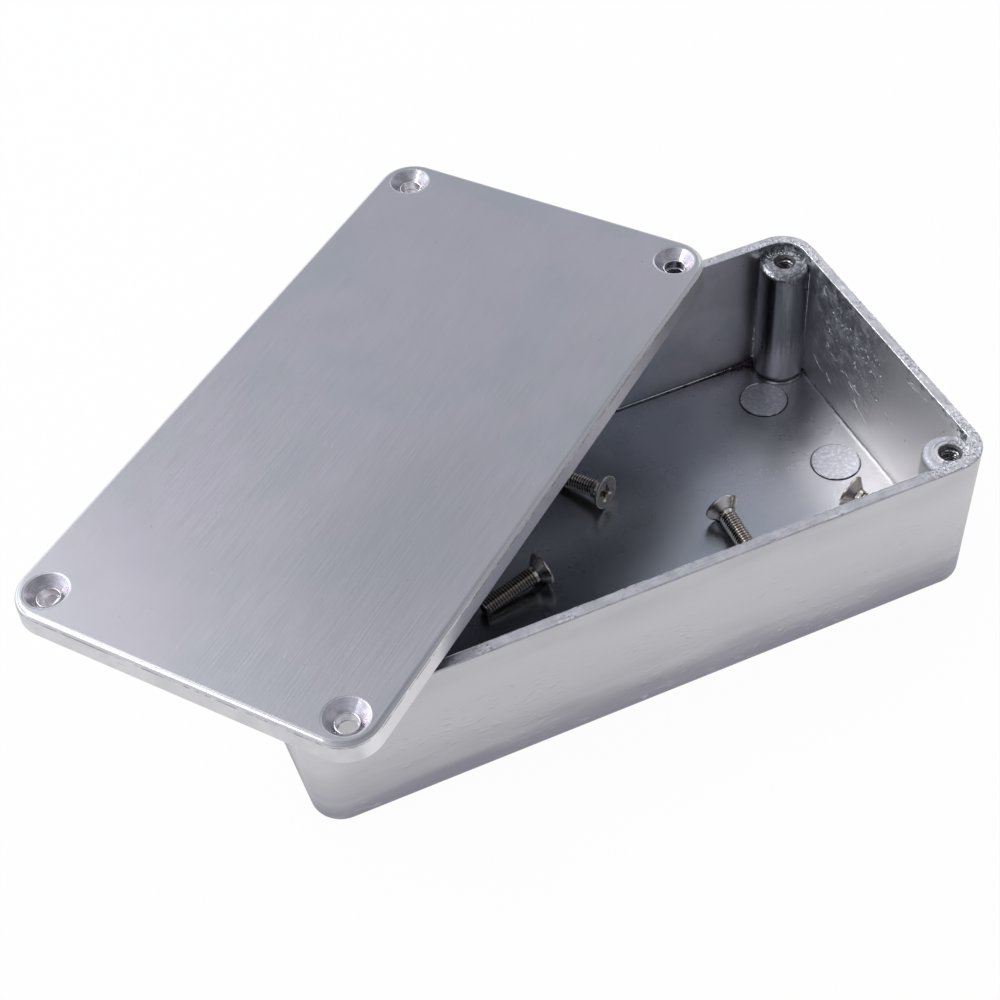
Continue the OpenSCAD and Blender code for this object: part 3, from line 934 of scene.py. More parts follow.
def screw_shell(s, place, heading, roll):
    """A countersunk screw as one turned surface from the middle of its face to its tip. The face sinks by
    the recess's depth, and the shank's radius loses the thread's depth at turn z / pitch - angle / 360."""
    around = 96
    angle = np.linspace(0, 2 * np.pi, around, endpoint=False)
    rounding = 0.1 * MM
    cone_end = s.head_edge + s.head_r - s.shank_r

    face_r = np.concatenate([np.arange(0.04, 2.0, 0.05) * MM,
                             np.linspace(2.05 * MM, s.head_r - rounding, 10)])
    gx, gy = face_r[:, None] * np.cos(angle), face_r[:, None] * np.sin(angle)
    sunk = recess_shape(gx, gy, s)
    face = np.stack([gx, gy, sunk], -1)

    quarter = np.linspace(0, np.pi / 2, 5)[1:]
    edge_r = s.head_r - rounding + rounding * np.sin(quarter)
    edge_z = rounding - rounding * np.cos(quarter)
    cone_r = np.linspace(s.head_r - 0.04 * MM, s.shank_r, 16)
    cone_z = s.head_edge + 0.04 * MM + (s.head_r - 0.04 * MM - cone_r)
    head_r = np.concatenate([edge_r, [s.head_r], cone_r])
    head_z = np.concatenate([edge_z, [s.head_edge - 0.03 * MM], cone_z])
    head = np.stack([head_r[:, None] * np.cos(angle), head_r[:, None] * np.sin(angle),
                     np.broadcast_to(head_z[:, None], (len(head_r), around))], -1)

    z = np.arange(cone_end + 0.08 * MM, s.length, s.pitch / 9)
    cut = thread_shape(z[:, None] / s.pitch - angle / (2 * np.pi))
    run_in = smooth((z - cone_end - 0.25 * MM) / (0.5 * MM))[:, None]
    bevel = s.shank_r - np.maximum(z - (s.length - s.tip_bevel), 0)[:, None]
    r = np.minimum(s.shank_r - s.thread_depth * cut * run_in, bevel)
    shank = np.stack([r * np.cos(angle), r * np.sin(angle), np.broadcast_to(z[:, None], r.shape)], -1)
    own = np.concatenate([face, head, shank])

    lie = math.atan((s.head_r - s.shank_r) / (s.length - s.tip_bevel - s.head_edge))
    face_z = FLOOR_Z + s.head_r * math.cos(lie) + s.head_edge * math.sin(lie)
    turn = (
        Matrix.Rotation(math.radians(heading), 4, "Z")
        @ Matrix.Rotation(math.pi / 2 + lie, 4, "Y")
        @ Matrix.Rotation(math.radians(roll), 4, "Z")
    )
    head_place = (HOLE_X + place[0] * MM, place[1] * MM - HOLE_Y, face_z)
    m = np.array(Matrix.Translation(head_place) @ turn)
    return shell(own @ m[:3, :3].T + m[:3, 3], own)


# Each loose screw: its head's place from the front right boss in millimetres, its tip's heading and its roll
LOOSE = (
    ((-41.5, 33.8), 121.0, 30.0),
    ((-57.7, 23.6), 191.5, 10.0),
    ((-26.2, 22.4), 270.5, 20.0),
    ((-6.1, 16.0), 293.5, 5.0),
)


def helix_shell(middle, s):
    """Thread of a tapped hole: a ridge of triangular section carried down a helix. At angle a it stands
    at the height -pitch a / 360, and it thins out to nothing at both ends."""
    top = 0.45 * MM
    turns = 17
    steps = turns * 40
    a = np.linspace(0, 2 * np.pi * turns, steps)
    z = BOSS_TOP - top - s.pitch * a / (2 * np.pi)
    fade = smooth(np.minimum(a, a[-1] - a) / (1.2 * np.pi))
    out = np.stack([np.cos(a), np.sin(a)], -1)
    crest = TAP_R - (TAP_R - DRILL_R) * fade
    foot = np.full(steps, TAP_R + 0.06 * MM)
    half = s.pitch * 0.42
    section = [(foot, half), (crest, 0.05 * MM), (crest, -0.05 * MM), (foot, -half)]
    rings = [np.concatenate([out * r[:, None] + middle, (z + dz)[:, None]], -1) for r, dz in section]
    return shell(np.stack(rings, 1))


# Radius of each boss's rough face, for the corners in their order
FACE_R = (BOSS_FLAT_R, BOSS_FLAT_R, 2.8 * MM, 2.6 * MM)


def boss_face_shell(sign, flat_r, seed, s):
    """Rough face of a boss: a ring-shaped skin over angle and radius that follows the flat top and the
    start of its rounded edge, whose drop is R - sqrt(R^2 - t^2). Towards the corner it is chewed by
    noise. On the other side two bell-shaped burrs run round it, one at the hole's mouth and one where the
    rounding starts."""
    around, across = 250, 48
    a = np.linspace(0, 2 * np.pi, around, endpoint=False)[:, None]
    outer = flat_r + 0.3 * MM
    middle = np.array([sign[0] * HOLE_X, sign[1] * HOLE_Y])
    probe = np.stack([np.cos(a) * MOUTH_R + middle[0], np.sin(a) * MOUTH_R + middle[1], 0 * a], -1)
    inner = MOUTH_R - 0.16 * MM * np.maximum(rough(probe, 0.6 * MM, seed + 12, 3) + 0.1, 0)
    r = inner + (outer - inner) * np.linspace(0, 1, across)[None, :]
    flat = np.stack([r * np.cos(a) + middle[0], r * np.sin(a) + middle[1], np.zeros((around, across))], -1)
    drop = BOSS_EDGE_R - np.sqrt(BOSS_EDGE_R**2 - np.maximum(r - BOSS_FLAT_R, 0) ** 2)
    outward = (np.cos(a) * sign[0] + np.sin(a) * sign[1]) / math.sqrt(2)
    lumps = rough(flat, 0.7 * MM, seed, 3)
    fine = rough(flat, 0.26 * MM, seed + 4, 2)
    wobble = 0.12 * MM * rough(flat * [1, 1, 0] + [0, 0, seed * MM], 2.0 * MM, seed + 7, 3)
    chew = smooth((outward + (0.4 if sign[1] > 0 else 0.55) + 0.5
                   * lattice_noise(flat, 1.3 * MM, seed + 2)) / 0.6)
    whole = 1 - chew
    along = smooth(0.6 + 0.9 * lattice_noise(flat * [1, 1, 0], 1.5 * MM, seed + 9))
    lip = s.burr_height * bump_at(r, flat_r - 0.02 * MM + wobble, 0.1 * MM) * whole * along
    mouth = s.burr_height * bump_at(r, MOUTH_R + 0.22 * MM + wobble, 0.11 * MM) * (0.3 + 0.7 * along)
    height = 0.012 * MM * fine + lip + 0.8 * mouth
    height = height + chew * (0.26 * MM * np.maximum(lumps, -0.12) + 0.09 * MM * fine)
    height = height * smooth((outer - r) / (0.16 * MM)) - 0.03 * MM * smooth((r - flat_r) / (0.25 * MM))
    low = 0.14 * MM
    height = np.maximum(height, -0.03 * MM)
    top = flat + np.stack([0 * height, 0 * height, BOSS_TOP + 0.02 * MM - drop + height], -1)
    top[:, 0, 2] = BOSS_TOP - low / 2
    under = flat + np.stack([0 * height, 0 * height, BOSS_TOP - drop - low + 0 * height], -1)
    own = np.stack([r + 0 * height, height, MM * chew], -1)
    return shell(np.concatenate([top, under[:, ::-1]], 1), np.concatenate([own, own[:, ::-1]], 1),
                 closed=True)


def boss_crumb_shells(sign, count, seed):
    """Crumbs left by the tools beside a boss: small lumps on the chewed half of its face, and on the
    inner half of the rim around the corner."""
    rng = np.random.default_rng(seed)
    towards = math.atan2(sign[1], sign[0])
    a = towards + 1.5 * (rng.random(count) - 0.5) * 2
    r = MOUTH_R + 0.25 * MM + (BOSS_FLAT_R + 0.1 * MM - MOUTH_R) * rng.random(count)
    on_face = lift(np.stack([sign[0] * HOLE_X + r * np.cos(a), sign[1] * HOLE_Y + r * np.sin(a)], -1),
                   BOSS_TOP + 0.03 * MM)
    flat, normal = rounded_outline(INNER_X, INNER_Y, INNER_R, 0.2 * MM)
    reach = np.linalg.norm(flat - np.array(sign) * [HOLE_X, HOLE_Y], axis=1)
    near = np.flatnonzero(reach < 6.5 * MM)
    pick = rng.choice(near, count)
    out = (0.1 + 0.9 * rng.random(count) ** 1.5) * MM
    on_rim = lift(flat[pick] + normal[pick] * out[:, None], BOX_H - 0.01 * MM)
    sizes = (0.04 + 0.11 * rng.random(2 * count) ** 2.5) * MM
    return crumb_shells(np.concatenate([on_face, on_rim]), sizes, seed)


def corner_skin_shell(sign, seed):
    """Torn skin on the wall above a boss: a band along the corner, whose inner face stands proud by noise
    and whose back lies in the metal."""
    axis = np.array([sign[0] * (HALF_L - CORNER_R), sign[1] * (HALF_W - CORNER_R)])
    reach = 3.0 * MM
    t = np.linspace(-reach, INNER_R * np.pi / 2 + reach, 150)
    angle = np.clip(t / INNER_R, 0, np.pi / 2)
    normal = np.stack([np.cos(angle), np.sin(angle)], -1)
    tangent = np.stack([-np.sin(angle), np.cos(angle)], -1)
    flat = INNER_R * normal + tangent * (t - angle * INNER_R)[:, None]
    flat, normal = flat * sign + axis, normal * sign
    z = np.linspace(BOSS_TOP - 0.9 * MM, BOX_H - 0.05 * MM, 30)
    grid = np.concatenate([np.repeat(flat[:, None], len(z), 1),
                           np.broadcast_to(z[None, :, None], (len(t), len(z), 1))], -1)
    lumps = rough(grid, 0.8 * MM, seed, 3)
    fade = smooth(np.minimum(t + reach, t[-1] - t) / (2.4 * MM))[:, None] * smooth((BOX_H - z) / (0.3 * MM))
    proud = 0.26 * MM * fade * np.maximum(lumps + 0.1, 0) - 0.02 * MM
    n = np.concatenate([normal, np.zeros((len(t), 1))], -1)[:, None]
    front = grid - n * (proud + wall_lean(z))[..., None]
    back = grid + n * 0.12 * MM
    return shell(np.concatenate([front, back[:, ::-1]], 1))


# Strands of drag marks on the right wall: start and end as y and z, half width in millimetres, and slivers
STRANDS = (
    ((16.5, 18.6), (-0.8, 15.2), 1.10, 90),
    ((14.3, 22.2), (-1.6, 18.4), 1.30, 80),
    ((15.0, 14.2), (3.2, 11.0), 0.90, 30),
    ((18.7, 9.3), (12.1, 7.2), 0.80, 14),
    ((5.7, 9.4), (1.6, 7.9), 0.50, 8),
    ((-3.0, 14.2), (-7.5, 12.4), 0.60, 10),
    ((19.6, 24.6), (10.0, 24.0), 1.90, 50),
    ((10.5, 21.6), (-1.5, 22.6), 1.50, 40),
    ((-8.0, 25.6), (-14.0, 26.0), 0.60, 14),
)


def drag_mark_shells(seed):
    """Slivers dragged along the right wall in strands. Each one is a bead, half in the wall, at a random
    place of its strand. It leans as the strand does and gets thicker and thinner by noise."""
    rng = np.random.default_rng(seed)
    shells = []
    for start, end, half, count in STRANDS:
        start, end = np.array(start) * MM, np.array(end) * MM
        run = (end - start) / np.linalg.norm(end - start)
        lean = np.array([run[1], -run[0]])
        short = half > 1.0
        for k in range(count):
            length = (0.3 + (0.5 if short else 1.9) * rng.random() ** 2.5) * MM
            middle = start + (end - start) * rng.random() + lean * rng.normal() * 0.5 * half * MM
            swing = rng.normal() * (0.5 if short else 0.12)
            way = run * math.cos(swing) + lean * math.sin(swing)
            flat = straight(middle - way * length / 2, middle + way * length / 2, 0.11 * MM)
            z = np.minimum(flat[:, 1], BOX_H - 0.25 * MM)
            path = np.stack([INNER_X - wall_lean(z) - 0.01 * MM, flat[:, 0], z], -1)
            ends = smooth(np.minimum(np.arange(len(path)), np.arange(len(path))[::-1]) / 2.5)
            r = (0.022 + 0.034 * rng.random() ** 2) * MM * np.maximum(ends, 0.2)
            r = r * (0.8 + 0.5 * rough(path + [0, k * MM, 0], 0.5 * MM, seed + 3))
            across, up = all_along(path, ALONG_X), all_along(path, (0.0, -way[1], way[0]))
            shells.append(shell(bead(path, across, up, r, 0.45, 0.25 * MM, seed + k, around=7)))
    return shells


def wall_scab_shell(seed):
    """Torn skin on the right wall: a grid over y and z whose inner face stands proud of the wall along
    the strands, by noise drawn out along them, and lies under the wall's face elsewhere."""
    y = np.arange(-9.0, 20.6, 0.12)[:, None] * MM
    z = np.arange(12.5, 27.5, 0.11)[None, :] * MM
    y, z = y + 0 * z, z + 0 * y
    mask = 0 * y
    for start, end, half, _ in STRANDS:
        start, end = np.array(start) * MM, np.array(end) * MM
        run = end - start
        t = np.clip(((y - start[0]) * run[0] + (z - start[1]) * run[1]) / (run @ run), 0, 1)
        gap = np.hypot(y - start[0] - t * run[0], z - start[1] - t * run[1])
        mask = np.maximum(mask, np.exp(-((gap / (0.9 * half * MM)) ** 2)))
    grain = np.stack([0 * y, (y + 3.5 * z) * 0.35, z - 0.22 * y], -1)
    lumps = rough(grain, 0.26 * MM, seed, 3)
    island = rough(grain * 0.6, 0.9 * MM, seed + 5, 2)
    edge = np.minimum(np.minimum(y - y.min(), y.max() - y), np.minimum(z - z.min(), z.max() - z))
    proud = (0.2 * MM * np.maximum(lumps + 0.6 * island - 0.34 + 0.3 * mask, 0) * mask
             * smooth(edge / (0.6 * MM)) - 0.03 * MM)
    x = INNER_X - wall_lean(z)
    front = np.stack([x - proud, y, z], -1)
    back = np.stack([x + 0.15 * MM, y, z], -1)
    return shell(np.concatenate([front, back[:, ::-1]], 1))


def groove_strip(start, end, across):
    """Flash that fills the outer part of the floor's groove along a wall: an oblong bar just below the
    floor."""
    path = straight(start, end, 4 * MM)
    near, far, low, high = 0.0, 0.3 * MM, -0.25 * MM, -0.015 * MM
    section = ((near, low), (far, low), (far, high), (near, high))
    return shell(np.stack([path + across * a + UPWARDS * b for a, b in section], 1))


def wall_bead(start, end, across, radius, seed, lump=0.5, cell=0.4 * MM, gaps=0.0):
    """Irregular bead along a straight crease. Where a slow noise falls below gaps, it thins out."""
    path = straight(start, end, 0.12 * MM)
    keep = smooth((lattice_noise(path, 1.7 * MM, seed + 5) - gaps) / 0.35 + 0.5)
    ends = smooth(np.minimum(np.arange(len(path)), np.arange(len(path))[::-1]) / 8)
    r = radius * np.maximum(keep * ends, 0.12)
    direction = (path[-1] - path[0]) / np.linalg.norm(path[-1] - path[0])
    side, up = all_along(path, across), all_along(path, np.cross(direction, across))
    wander = 0.25 * radius * rough(path, 0.9 * MM, seed + 3)[:, None]
    return shell(bead(path + side * wander, side, up, r, lump, cell, seed))


def crumb_shells(centres, sizes, seed):
    """Small crumbs: balls of six rings by eight, each swollen by noise."""
    polar = np.linspace(0.25, np.pi - 0.25, 6)[:, None]
    a = np.linspace(0, 2 * np.pi, 8, endpoint=False)[None, :]
    ball = np.stack([np.sin(polar) * np.cos(a), np.sin(polar) * np.sin(a), np.cos(polar) + 0 * a], -1)
    points = centres[:, None, None] + ball[None] * sizes[:, None, None, None]
    swell = 1 + 0.5 * rough(points, 0.18 * MM, seed)[..., None]
    return [shell(p) for p in centres[:, None, None] + (points - centres[:, None, None]) * swell]


def pin_marks():
    """Middles of the six ejector pin marks."""
    return [(sx * (HOLE_X - MARK_STEP), sy * (HOLE_Y - MARK_STEP)) for sx, sy in CORNERS] + [
        (MARK_END_X, 0.0), (-MARK_END_X, 0.0)]


def pin_ring_shell(middle, seed):
    """Flash on the edge of a pin mark: a bead on a circle that is no more than a thread for most of the
    way and swells where slow noise is high."""
    a = np.linspace(0, 2 * np.pi, 260, endpoint=False)
    out = np.stack([np.cos(a), np.sin(a), 0 * a], -1)
    path = np.array([*middle, FLOOR_Z + MARK_H - 0.02 * MM]) + out * (MARK_R - 0.01 * MM)
    slow = lattice_noise(path, 2.6 * MM, seed) + 0.45 * lattice_noise(path, 0.5 * MM, seed + 1)
    up = all_along(path, UPWARDS)
    return shell(bead(path, out, up, 0.02 * MM + 0.06 * MM * smooth((slow - 0.15) / 0.5), 0.3, 0.4 * MM,
                      seed), closed=True)


def rim_wire_shell(half_x, half_y, radius, outwards, z, size, seed):
    """Burr along one edge of the rim: a bead on the edge's outline, moved outwards a little, thicker and
    thinner by slow noise."""
    flat, normal = rounded_outline(half_x + outwards, half_y + outwards, radius + outwards, 0.22 * MM)
    path, out = lift(flat, z), lift(normal, 0.0)
    r = size * (0.35 + 0.65 * smooth(0.5 + 0.8 * rough(path, 2.4 * MM, seed)))
    return shell(bead(path, out, all_along(path, UPWARDS), r, 0.35, 0.35 * MM, seed, around=8), closed=True)


def lid_point(u, v, z, turn):
    """Points of the lid's own plan, turned and moved to where it lies."""
    x = LID_MIDDLE.x + u * math.cos(turn) - v * math.sin(turn)
    y = LID_MIDDLE.y + u * math.sin(turn) + v * math.cos(turn)
    return np.stack([x, y, z + 0 * x], -1)


def hole_burr_shell(sign, seed, turn):
    """Ragged burr at the lower end of a lid's hole: a ring whose inner edge comes in by noise."""
    a = np.linspace(0, 2 * np.pi, 96, endpoint=False)
    probe = np.stack([np.cos(a), np.sin(a), 0 * a + seed], -1)
    come_in = 0.05 * MM + 0.3 * MM * np.maximum(rough(probe, 0.45, seed, 3) + 0.15, 0)
    z0 = LID_HIGH.z - PLATE_T
    thick = 0.16 * MM
    section = [
        (np.full(len(a), CLEAR_R + 0.05 * MM), z0 + thick),
        (CLEAR_R - come_in * 0.8, z0 + thick * 0.8),
        (CLEAR_R - come_in, z0 + thick * 0.35),
        (np.full(len(a), CLEAR_R + 0.05 * MM), z0 + 0.01 * MM),
    ]
    u, v = sign[0] * HOLE_X, sign[1] * HOLE_Y
    rings = [lid_point(u + r * np.cos(a), v + r * np.sin(a), z, turn) for r, z in section]
    return shell(np.stack(rings, 1), closed=True)


def ring_bead_shell(sign, radius, depth, size, seed, turn):
    """Raised lip round a lid's hole: a bead on a circle at a depth below the lid's top, swollen by
    noise."""
    a = np.linspace(0, 2 * np.pi, 180, endpoint=False)
    path = lid_point(sign[0] * HOLE_X + radius * np.cos(a), sign[1] * HOLE_Y + radius * np.sin(a),
                     LID_HIGH.z - depth, turn)
    out = np.stack([np.cos(a + turn), np.sin(a + turn), 0 * a], -1)
    up = all_along(path, UPWARDS)
    r = size * (0.55 + 0.45 * smooth(0.5 + rough(path, 1.2 * MM, seed)))
    return shell(bead(path, out, up, r, 0.0, 0.4 * MM, seed, around=8), closed=True)


def crease_flash_shells():
    """Flash in the creases: an upright bead on each side of each boss, one along each long wall's foot, and
    one on the floor beside the right groove's flash."""
    flash = []
    for k, (sx, sy) in enumerate(CORNERS):
        side_x, side_y = sx * (BOSS_X - 0.02 * MM), sy * (BOSS_Y - 0.02 * MM)
        foot = (side_x - sx * 0.25 * MM, sy * (FOOT_Y + 0.05 * MM), FLOOR_Z + 0.3 * MM)
        top = (side_x, sy * (INNER_Y - 0.03 * MM), 20 * MM)
        flash.append(wall_bead(foot, top, ALONG_X, 0.22 * MM, 50 + k, 0.7))
        foot = (sx * (FOOT_X + 0.1 * MM), side_y, FLOOR_Z + 0.2 * MM)
        top = (sx * (INNER_X - 0.03 * MM), side_y, 25.5 * MM)
        flash.append(wall_bead(foot, top, ALONG_Y, 0.10 * MM, 60 + k, 0.2, gaps=-0.9))
    for k, sy in enumerate((1, -1)):
        ends = [(x, sy * FOOT_Y, FLOOR_Z + 0.13 * MM) for x in (-BOSS_X, BOSS_X)]
        flash.append(wall_bead(*ends, ALONG_Y, 0.11 * MM, 70 + k, 0.4, gaps=-0.35))
    line_x = FOOT_X - GROOVE_W + 0.27 * MM
    ends = [(line_x, y, FLOOR_Z - 0.02 * MM) for y in (-BOSS_Y, BOSS_Y)]
    flash.append(wall_bead(*ends, ALONG_X, 0.06 * MM, 75, 0.3, gaps=-0.5))
    return flash


def groove_flash_shells():
    """Flash in the floor's groove along the four walls."""
    edge_x, edge_y = FOOT_X - GROOVE_W, FOOT_Y - GROOVE_W + 0.24 * MM
    strips = []
    for side in (1, -1):
        x = side * edge_x
        strips.append(groove_strip((x, -BOSS_Y, FLOOR_Z), (x, BOSS_Y, FLOOR_Z), side * ALONG_X))
    for side in (1, -1):
        y = side * edge_y
        strips.append(groove_strip((-BOSS_X, y, FLOOR_Z), (BOSS_X, y, FLOOR_Z), side * ALONG_Y))
    return strips


def residue_shells(rng):
    """Burnt residue along the back crease: a thick bead at the right boss, a thin one along the wall, and
    crumbs that lie thicker and larger near the boss."""
    count = 260
    start = (43 * MM, FOOT_Y - 0.1 * MM, FLOOR_Z + 0.1 * MM)
    end = (BOSS_X - 0.1 * MM, FOOT_Y - 0.2 * MM, FLOOR_Z + 0.25 * MM)
    thick = wall_bead(start, end, ALONG_Y, 0.34 * MM, 81, 1.1, 0.6 * MM, -0.5)
    start, end = ((x, FOOT_Y - 0.14 * MM, FLOOR_Z) for x in (-20 * MM, 44 * MM))
    thin = wall_bead(start, end, ALONG_Y, 0.13 * MM, 82, 0.9, 0.5 * MM, 0.15)
    spread = rng.random(count) ** 1.7
    centres = np.stack([
        BOSS_X - 0.1 * MM - spread * 10 * MM,
        FOOT_Y - 0.05 * MM - rng.random(count) ** 2 * (1.3 - spread) * MM,
        FLOOR_Z + rng.random(count) ** 2 * (0.9 - 0.8 * spread) * MM,
    ], -1)
    centres[:, 1] += (centres[:, 2] - FLOOR_Z) * 0.4
    sizes = (0.08 + 0.28 * rng.random(count) ** 2 * (1.05 - spread)) * MM
    return [thick, thin] + crumb_shells(centres, sizes, 83)


def crease_crumb_shells(rng):
    """Torn crumbs up the crease on the left of the back right boss, thicker and larger near the floor."""
    count = 150
    up = rng.random(count) ** 1.4
    rise = up * 14 * MM
    centres = np.stack([
        BOSS_X - 0.32 * MM * (1 - 0.6 * up) + rng.normal(size=count) * 0.14 * MM * (1.4 - up),
        FOOT_Y - 0.05 * MM + rise * math.tan(INNER_LEAN) - 0.25 * MM * rng.random(count),
        FLOOR_Z + 0.1 * MM + rise,
    ], -1)
    return crumb_shells(centres, (0.11 + 0.22 * rng.random(count) ** 2 * (1.2 - up)) * MM, 84)


def finish_pieces(*pieces, sharp=40):
    """Adds pieces to the castings, each given as its name, its shells and its material, and gives what an
    operator gives when it is done."""
    for name, shells, material in pieces:
        add_piece(name, shells, material, sharp)
    return {"FINISHED"}


class DIECAST_OT_castings(bpy.types.Operator):
    """Give the box and the lid their cast, linished and machined surfaces"""

    bl_idname = "diecast.castings"
    bl_label = "Castings"

    def execute(self, context):
        s = context.scene.diecast_casting
        for node, make in (("box", box_material), ("lid", lid_material)):
            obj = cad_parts[node]
            obj.data.materials.clear()
            obj.data.materials.append(make(s))
        return {"FINISHED"}


class DIECAST_OT_screws(bpy.types.Operator):
    """Replace the four plain screws by threaded ones with a cross recess"""

    bl_idname = "diecast.screws"
    bl_label = "Lid Screws"

    def execute(self, context):
        s = context.scene.diecast_screw
        material = shared("nickel_plating", nickel_material, s)
        for i, (place, heading, roll) in enumerate(LOOSE, 1):
            screw = add_piece(f"threaded_screw_{i}", [screw_shell(s, place, heading, roll)], material,
                              32)
            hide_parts(f"lid_screw_{i}")
        return {"FINISHED"}


class DIECAST_OT_boss_faces(bpy.types.Operator):
    """Add the threads in the bosses, their rough faces, and the torn skin above them and on the right wall"""

    bl_idname = "diecast.boss_faces"
    bl_label = "Boss Faces"

    def execute(self, context):
        s, screw = context.scene.diecast_casting, context.scene.diecast_screw
        threads = [helix_shell(np.array([sx * HOLE_X, sy * HOLE_Y]), screw) for sx, sy in CORNERS]
        faces = [boss_face_shell(c, r, 11 * k + 3, s) for k, (c, r) in enumerate(zip(CORNERS, FACE_R))]
        crumbs = [crumb for k, c in enumerate(CORNERS) for crumb in boss_crumb_shells(c, 200, 31 + k)]
        skins = [corner_skin_shell(c, 5 * k + 2) for k, c in enumerate(CORNERS)]
        marks = [wall_scab_shell(5)] + drag_mark_shells(17)
        return finish_pieces(
            ("boss_threads", threads, shared("cut_thread", thread_material, s)),
            ("boss_faces", faces, shared("boss_face", boss_face_material, s)),
            ("boss_crumbs", crumbs, shared("bright_burr", burr_material, s)),
            ("corner_skins", skins, shared("torn_metal", torn_material, s)),
            ("drag_marks", marks, shared("dull_burr", dull_burr_material, s)),
            sharp=60,
        )


class DIECAST_OT_casting_flash(bpy.types.Operator):
    """Add the flash, burrs and residue that the mould and the tools left inside the box"""

    bl_idname = "diecast.casting_flash"
    bl_label = "Casting Flash"

    def execute(self, context):
        s = context.scene.diecast_casting
        burr = shared("bright_burr", burr_material, s)
        inner, outer = (INNER_X, INNER_Y, INNER_R), (HALF_L, HALF_W, CORNER_R)
        wires = [rim_wire_shell(*inner, 0.06 * MM, BOX_H - 0.05 * MM, s.wire_edge, 21),
                 rim_wire_shell(*outer, -0.08 * MM, BOX_H - 0.07 * MM, 0.35 * s.wire_edge, 31)]
        pins = [pin_ring_shell(m, 40 + k) for k, m in enumerate(pin_marks())]
        rng = np.random.default_rng(8)
        return finish_pieces(
            ("rim_wire_edge", wires, burr),
            ("pin_mark_flash", pins, burr),
            ("crease_flash", crease_flash_shells(), burr),
            ("groove_flash", groove_flash_shells(), shared("cast_box", box_material, s)),
            ("core_residue", residue_shells(rng), shared("burnt_residue", residue_material, s)),
            ("crease_crumbs", crease_crumb_shells(rng), shared("oxide_crumbs", oxide_material, s)),
        )


class DIECAST_OT_lid_holes(bpy.types.Operator):
    """Add the burrs and lips of the lid's countersunk holes"""

    bl_idname = "diecast.lid_holes"
    bl_label = "Lid Holes"

    def execute(self, context):
        s = context.scene.diecast_casting
        lips = (SINK_R, 0.045 * MM, 0.044 * MM, 95), (CLEAR_R + 0.03 * MM, SINK_R - CLEAR_R, 0.13 * MM, 99)
        burrs = [hole_burr_shell(c, 90 + k, s.lid_turn) for k, c in enumerate(CORNERS)]
        for *ring, seed in lips:
            burrs += [ring_bead_shell(c, *ring, seed + k, s.lid_turn) for k, c in enumerate(CORNERS)]
        return finish_pieces(("lid_hole_burrs", burrs, shared("bright_burr", burr_material, s)))


def aim(obj, place, target):
    """Puts an object at a place, with its -Z axis towards a target."""
    place = Vector(place)
    turn = (Vector(target) - place).to_track_quat("-Z", "Y").to_matrix().to_4x4()
    obj.matrix_world = Matrix.Translation(place) @ turn


def soft_light(name, azimuth, elevation, distance, size, power):
    """Oblong area light towards the box, placed by its azimuth from the X axis and its elevation in
    degrees."""
    lamp = bpy.data.lights.new(name, "AREA")
    lamp.shape, lamp.energy = "RECTANGLE", power
    lamp.size, lamp.size_y = size
    obj = bpy.data.objects.new(name, lamp)
    bpy.context.scene.collection.objects.link(obj)
    a, e = math.radians(azimuth), math.radians(elevation)
    aim(obj, Vector((math.cos(e) * math.cos(a), math.cos(e) * math.sin(a), math.sin(e))) * distance,
        (0, 0, 0.02))


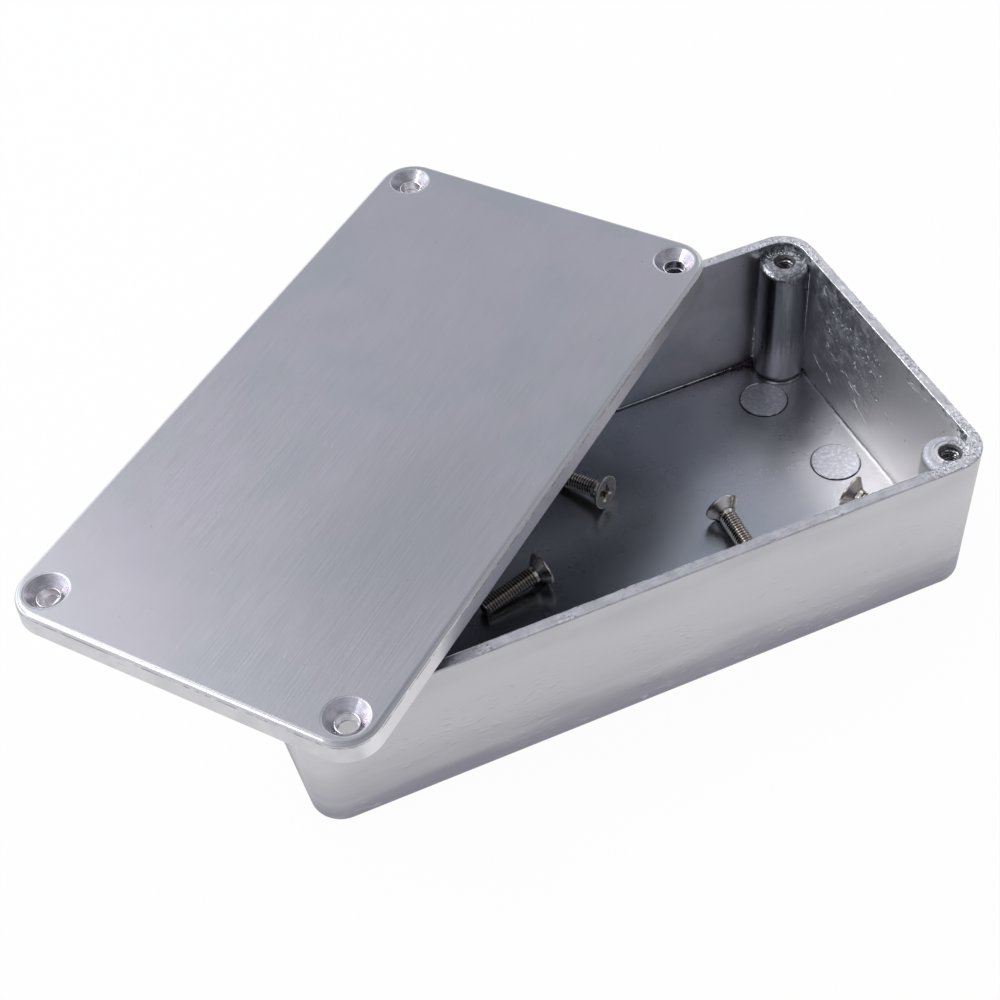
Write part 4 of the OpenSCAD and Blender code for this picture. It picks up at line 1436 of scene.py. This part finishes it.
class DIECAST_OT_stage(bpy.types.Operator):
    """Set up the pale floor, the soft light and the camera"""

    bl_idname = "diecast.stage"
    bl_label = "Stage"

    def execute(self, context):
        s = context.scene.diecast_studio
        self.floor(s)
        self.world(s)
        soft_light("key_light", 125, 49, 1.2, (0.66, 0.54), s.key_power)
        soft_light("side_light", 176, 40, 1.1, (0.3, 0.3), s.side_power)
        soft_light("low_light", 40, 30, 1.3, (0.5, 0.5), s.low_power)
        self.camera(s)
        context.scene.view_settings.view_transform = "Standard"
        return {"FINISHED"}

    def floor(self, s):
        """Flat square just below the box. To the camera and to reflections it is nearly its own white,
        with a part of the shadow kept."""
        half = 3.0
        mesh = bpy.data.meshes.new("floor")
        z = -0.05 * MM
        mesh.from_pydata([(-half, -half, z), (half, -half, z), (half, half, z), (-half, half, z)], [],
                         [(0, 1, 2, 3)])
        look = new_look("pale_floor")
        kinds = ("Camera", "Glossy", "Transmission")
        camera, glossy, through = (look.out("ShaderNodeLightPath", f"Is {kind} Ray") for kind in kinds)
        seen = look.larger(camera * 0.97, look.larger(glossy, through) * 0.5)
        plain = look.out("ShaderNodeBsdfDiffuse", 0, {"Color": rgb(s.floor)})
        white = look.out("ShaderNodeEmission", 0, {"Color": (1, 1, 1, 1), "Strength": 1.0})
        mix = look.out("ShaderNodeMixShader", 0, {0: seen, 1: plain, 2: white})
        look.node("ShaderNodeOutputMaterial", {"Surface": mix})
        mesh.materials.append(look.owner)
        obj = bpy.data.objects.new("floor", mesh)
        bpy.context.scene.collection.objects.link(obj)

    def world(self, s):
        """Room walls that are darker on the camera's side, under a darker ceiling. The camera sees them
        white."""
        world = bpy.data.worlds.new("studio")
        bpy.context.scene.world = world
        look = Look(world)
        direction = look.out("ShaderNodeTexCoord", "Generated")
        height = look.split(direction)[2]
        bright_side = math.radians(125)
        towards = look.vector("DOT_PRODUCT", direction, (math.cos(bright_side), math.sin(bright_side), 0.0))
        walls = look.ramp(towards, -0.7, 0.75, s.room_front, s.room_back)
        brightness = walls * look.ramp(height, 0.3, 0.95, 1.0, s.ceiling)
        low_glow = look.ramp(height, 0.42, 0.15, 0.0, s.horizon) * look.ramp(towards, 0.4, 0.85)
        seen = look.out("ShaderNodeLightPath", "Is Camera Ray")
        background = look.out("ShaderNodeBackground", 0, {
            "Color": look.tint(seen, rgb(s.room), (1, 1, 1, 1)),
            "Strength": look.larger(brightness + low_glow, seen),
        })
        look.node("ShaderNodeOutputWorld", {"Surface": background})

    def camera(self, s):
        """Camera at the photograph's viewing angle, from above and the front left."""
        lens = bpy.data.cameras.new("camera")
        lens.sensor_width, lens.sensor_fit, lens.lens = 36.0, "HORIZONTAL", s.lens
        lens.clip_start, lens.clip_end = 0.01, 20.0
        obj = bpy.data.objects.new("camera", lens)
        right = Vector((0.911816, -0.406607, -0.057113))
        up = Vector((0.334015, 0.653640, 0.679109))
        back = Vector((-0.238799, -0.638299, 0.731812))
        place = Vector((-0.083757, -0.190408, 0.241194))
        obj.matrix_world = Matrix.Translation(place) @ Matrix((right, up, back)).transposed().to_4x4()
        bpy.context.scene.collection.objects.link(obj)
        bpy.context.scene.camera = obj


class DIECAST_PT_panel(bpy.types.Panel):
    """Sidebar panel that lists the pieces and their settings"""

    bl_label = "Die Cast Box"
    bl_idname = "DIECAST_PT_panel"
    bl_space_type = "VIEW_3D"
    bl_region_type = "UI"
    bl_category = "Die Cast Box"

    def draw(self, context):
        scene = context.scene
        for title, group, operators in (
            ("Castings", scene.diecast_casting, ("castings", "boss_faces", "casting_flash", "lid_holes")),
            ("Screws", scene.diecast_screw, ("screws",)),
            ("Stage", scene.diecast_studio, ("stage",)),
        ):
            box = self.layout.box()
            box.label(text=title)
            for name in group.__annotations__:
                box.prop(group, name)
            for name in operators:
                box.operator("diecast." + name)


GROUPS = (
    ("diecast_casting", CastingSettings),
    ("diecast_screw", ScrewSettings),
    ("diecast_studio", StudioSettings),
)
OPERATORS = (
    DIECAST_OT_castings,
    DIECAST_OT_screws,
    DIECAST_OT_boss_faces,
    DIECAST_OT_casting_flash,
    DIECAST_OT_lid_holes,
    DIECAST_OT_stage,
)
CLASSES = tuple(group for _, group in GROUPS) + OPERATORS + (DIECAST_PT_panel,)


def register():
    for cls in CLASSES:
        bpy.utils.register_class(cls)
    for name, group in GROUPS:
        setattr(bpy.types.Scene, name, bpy.props.PointerProperty(type=group))


def unregister():
    for name, _ in GROUPS:
        delattr(bpy.types.Scene, name)
    for cls in reversed(CLASSES):
        bpy.utils.unregister_class(cls)


def main():
    """Builds every piece and the stage."""
    register()
    for cls in OPERATORS:
        group, name = cls.bl_idname.split(".")
        getattr(getattr(bpy.ops, group), name)()


if __name__ == "__main__":
    main()
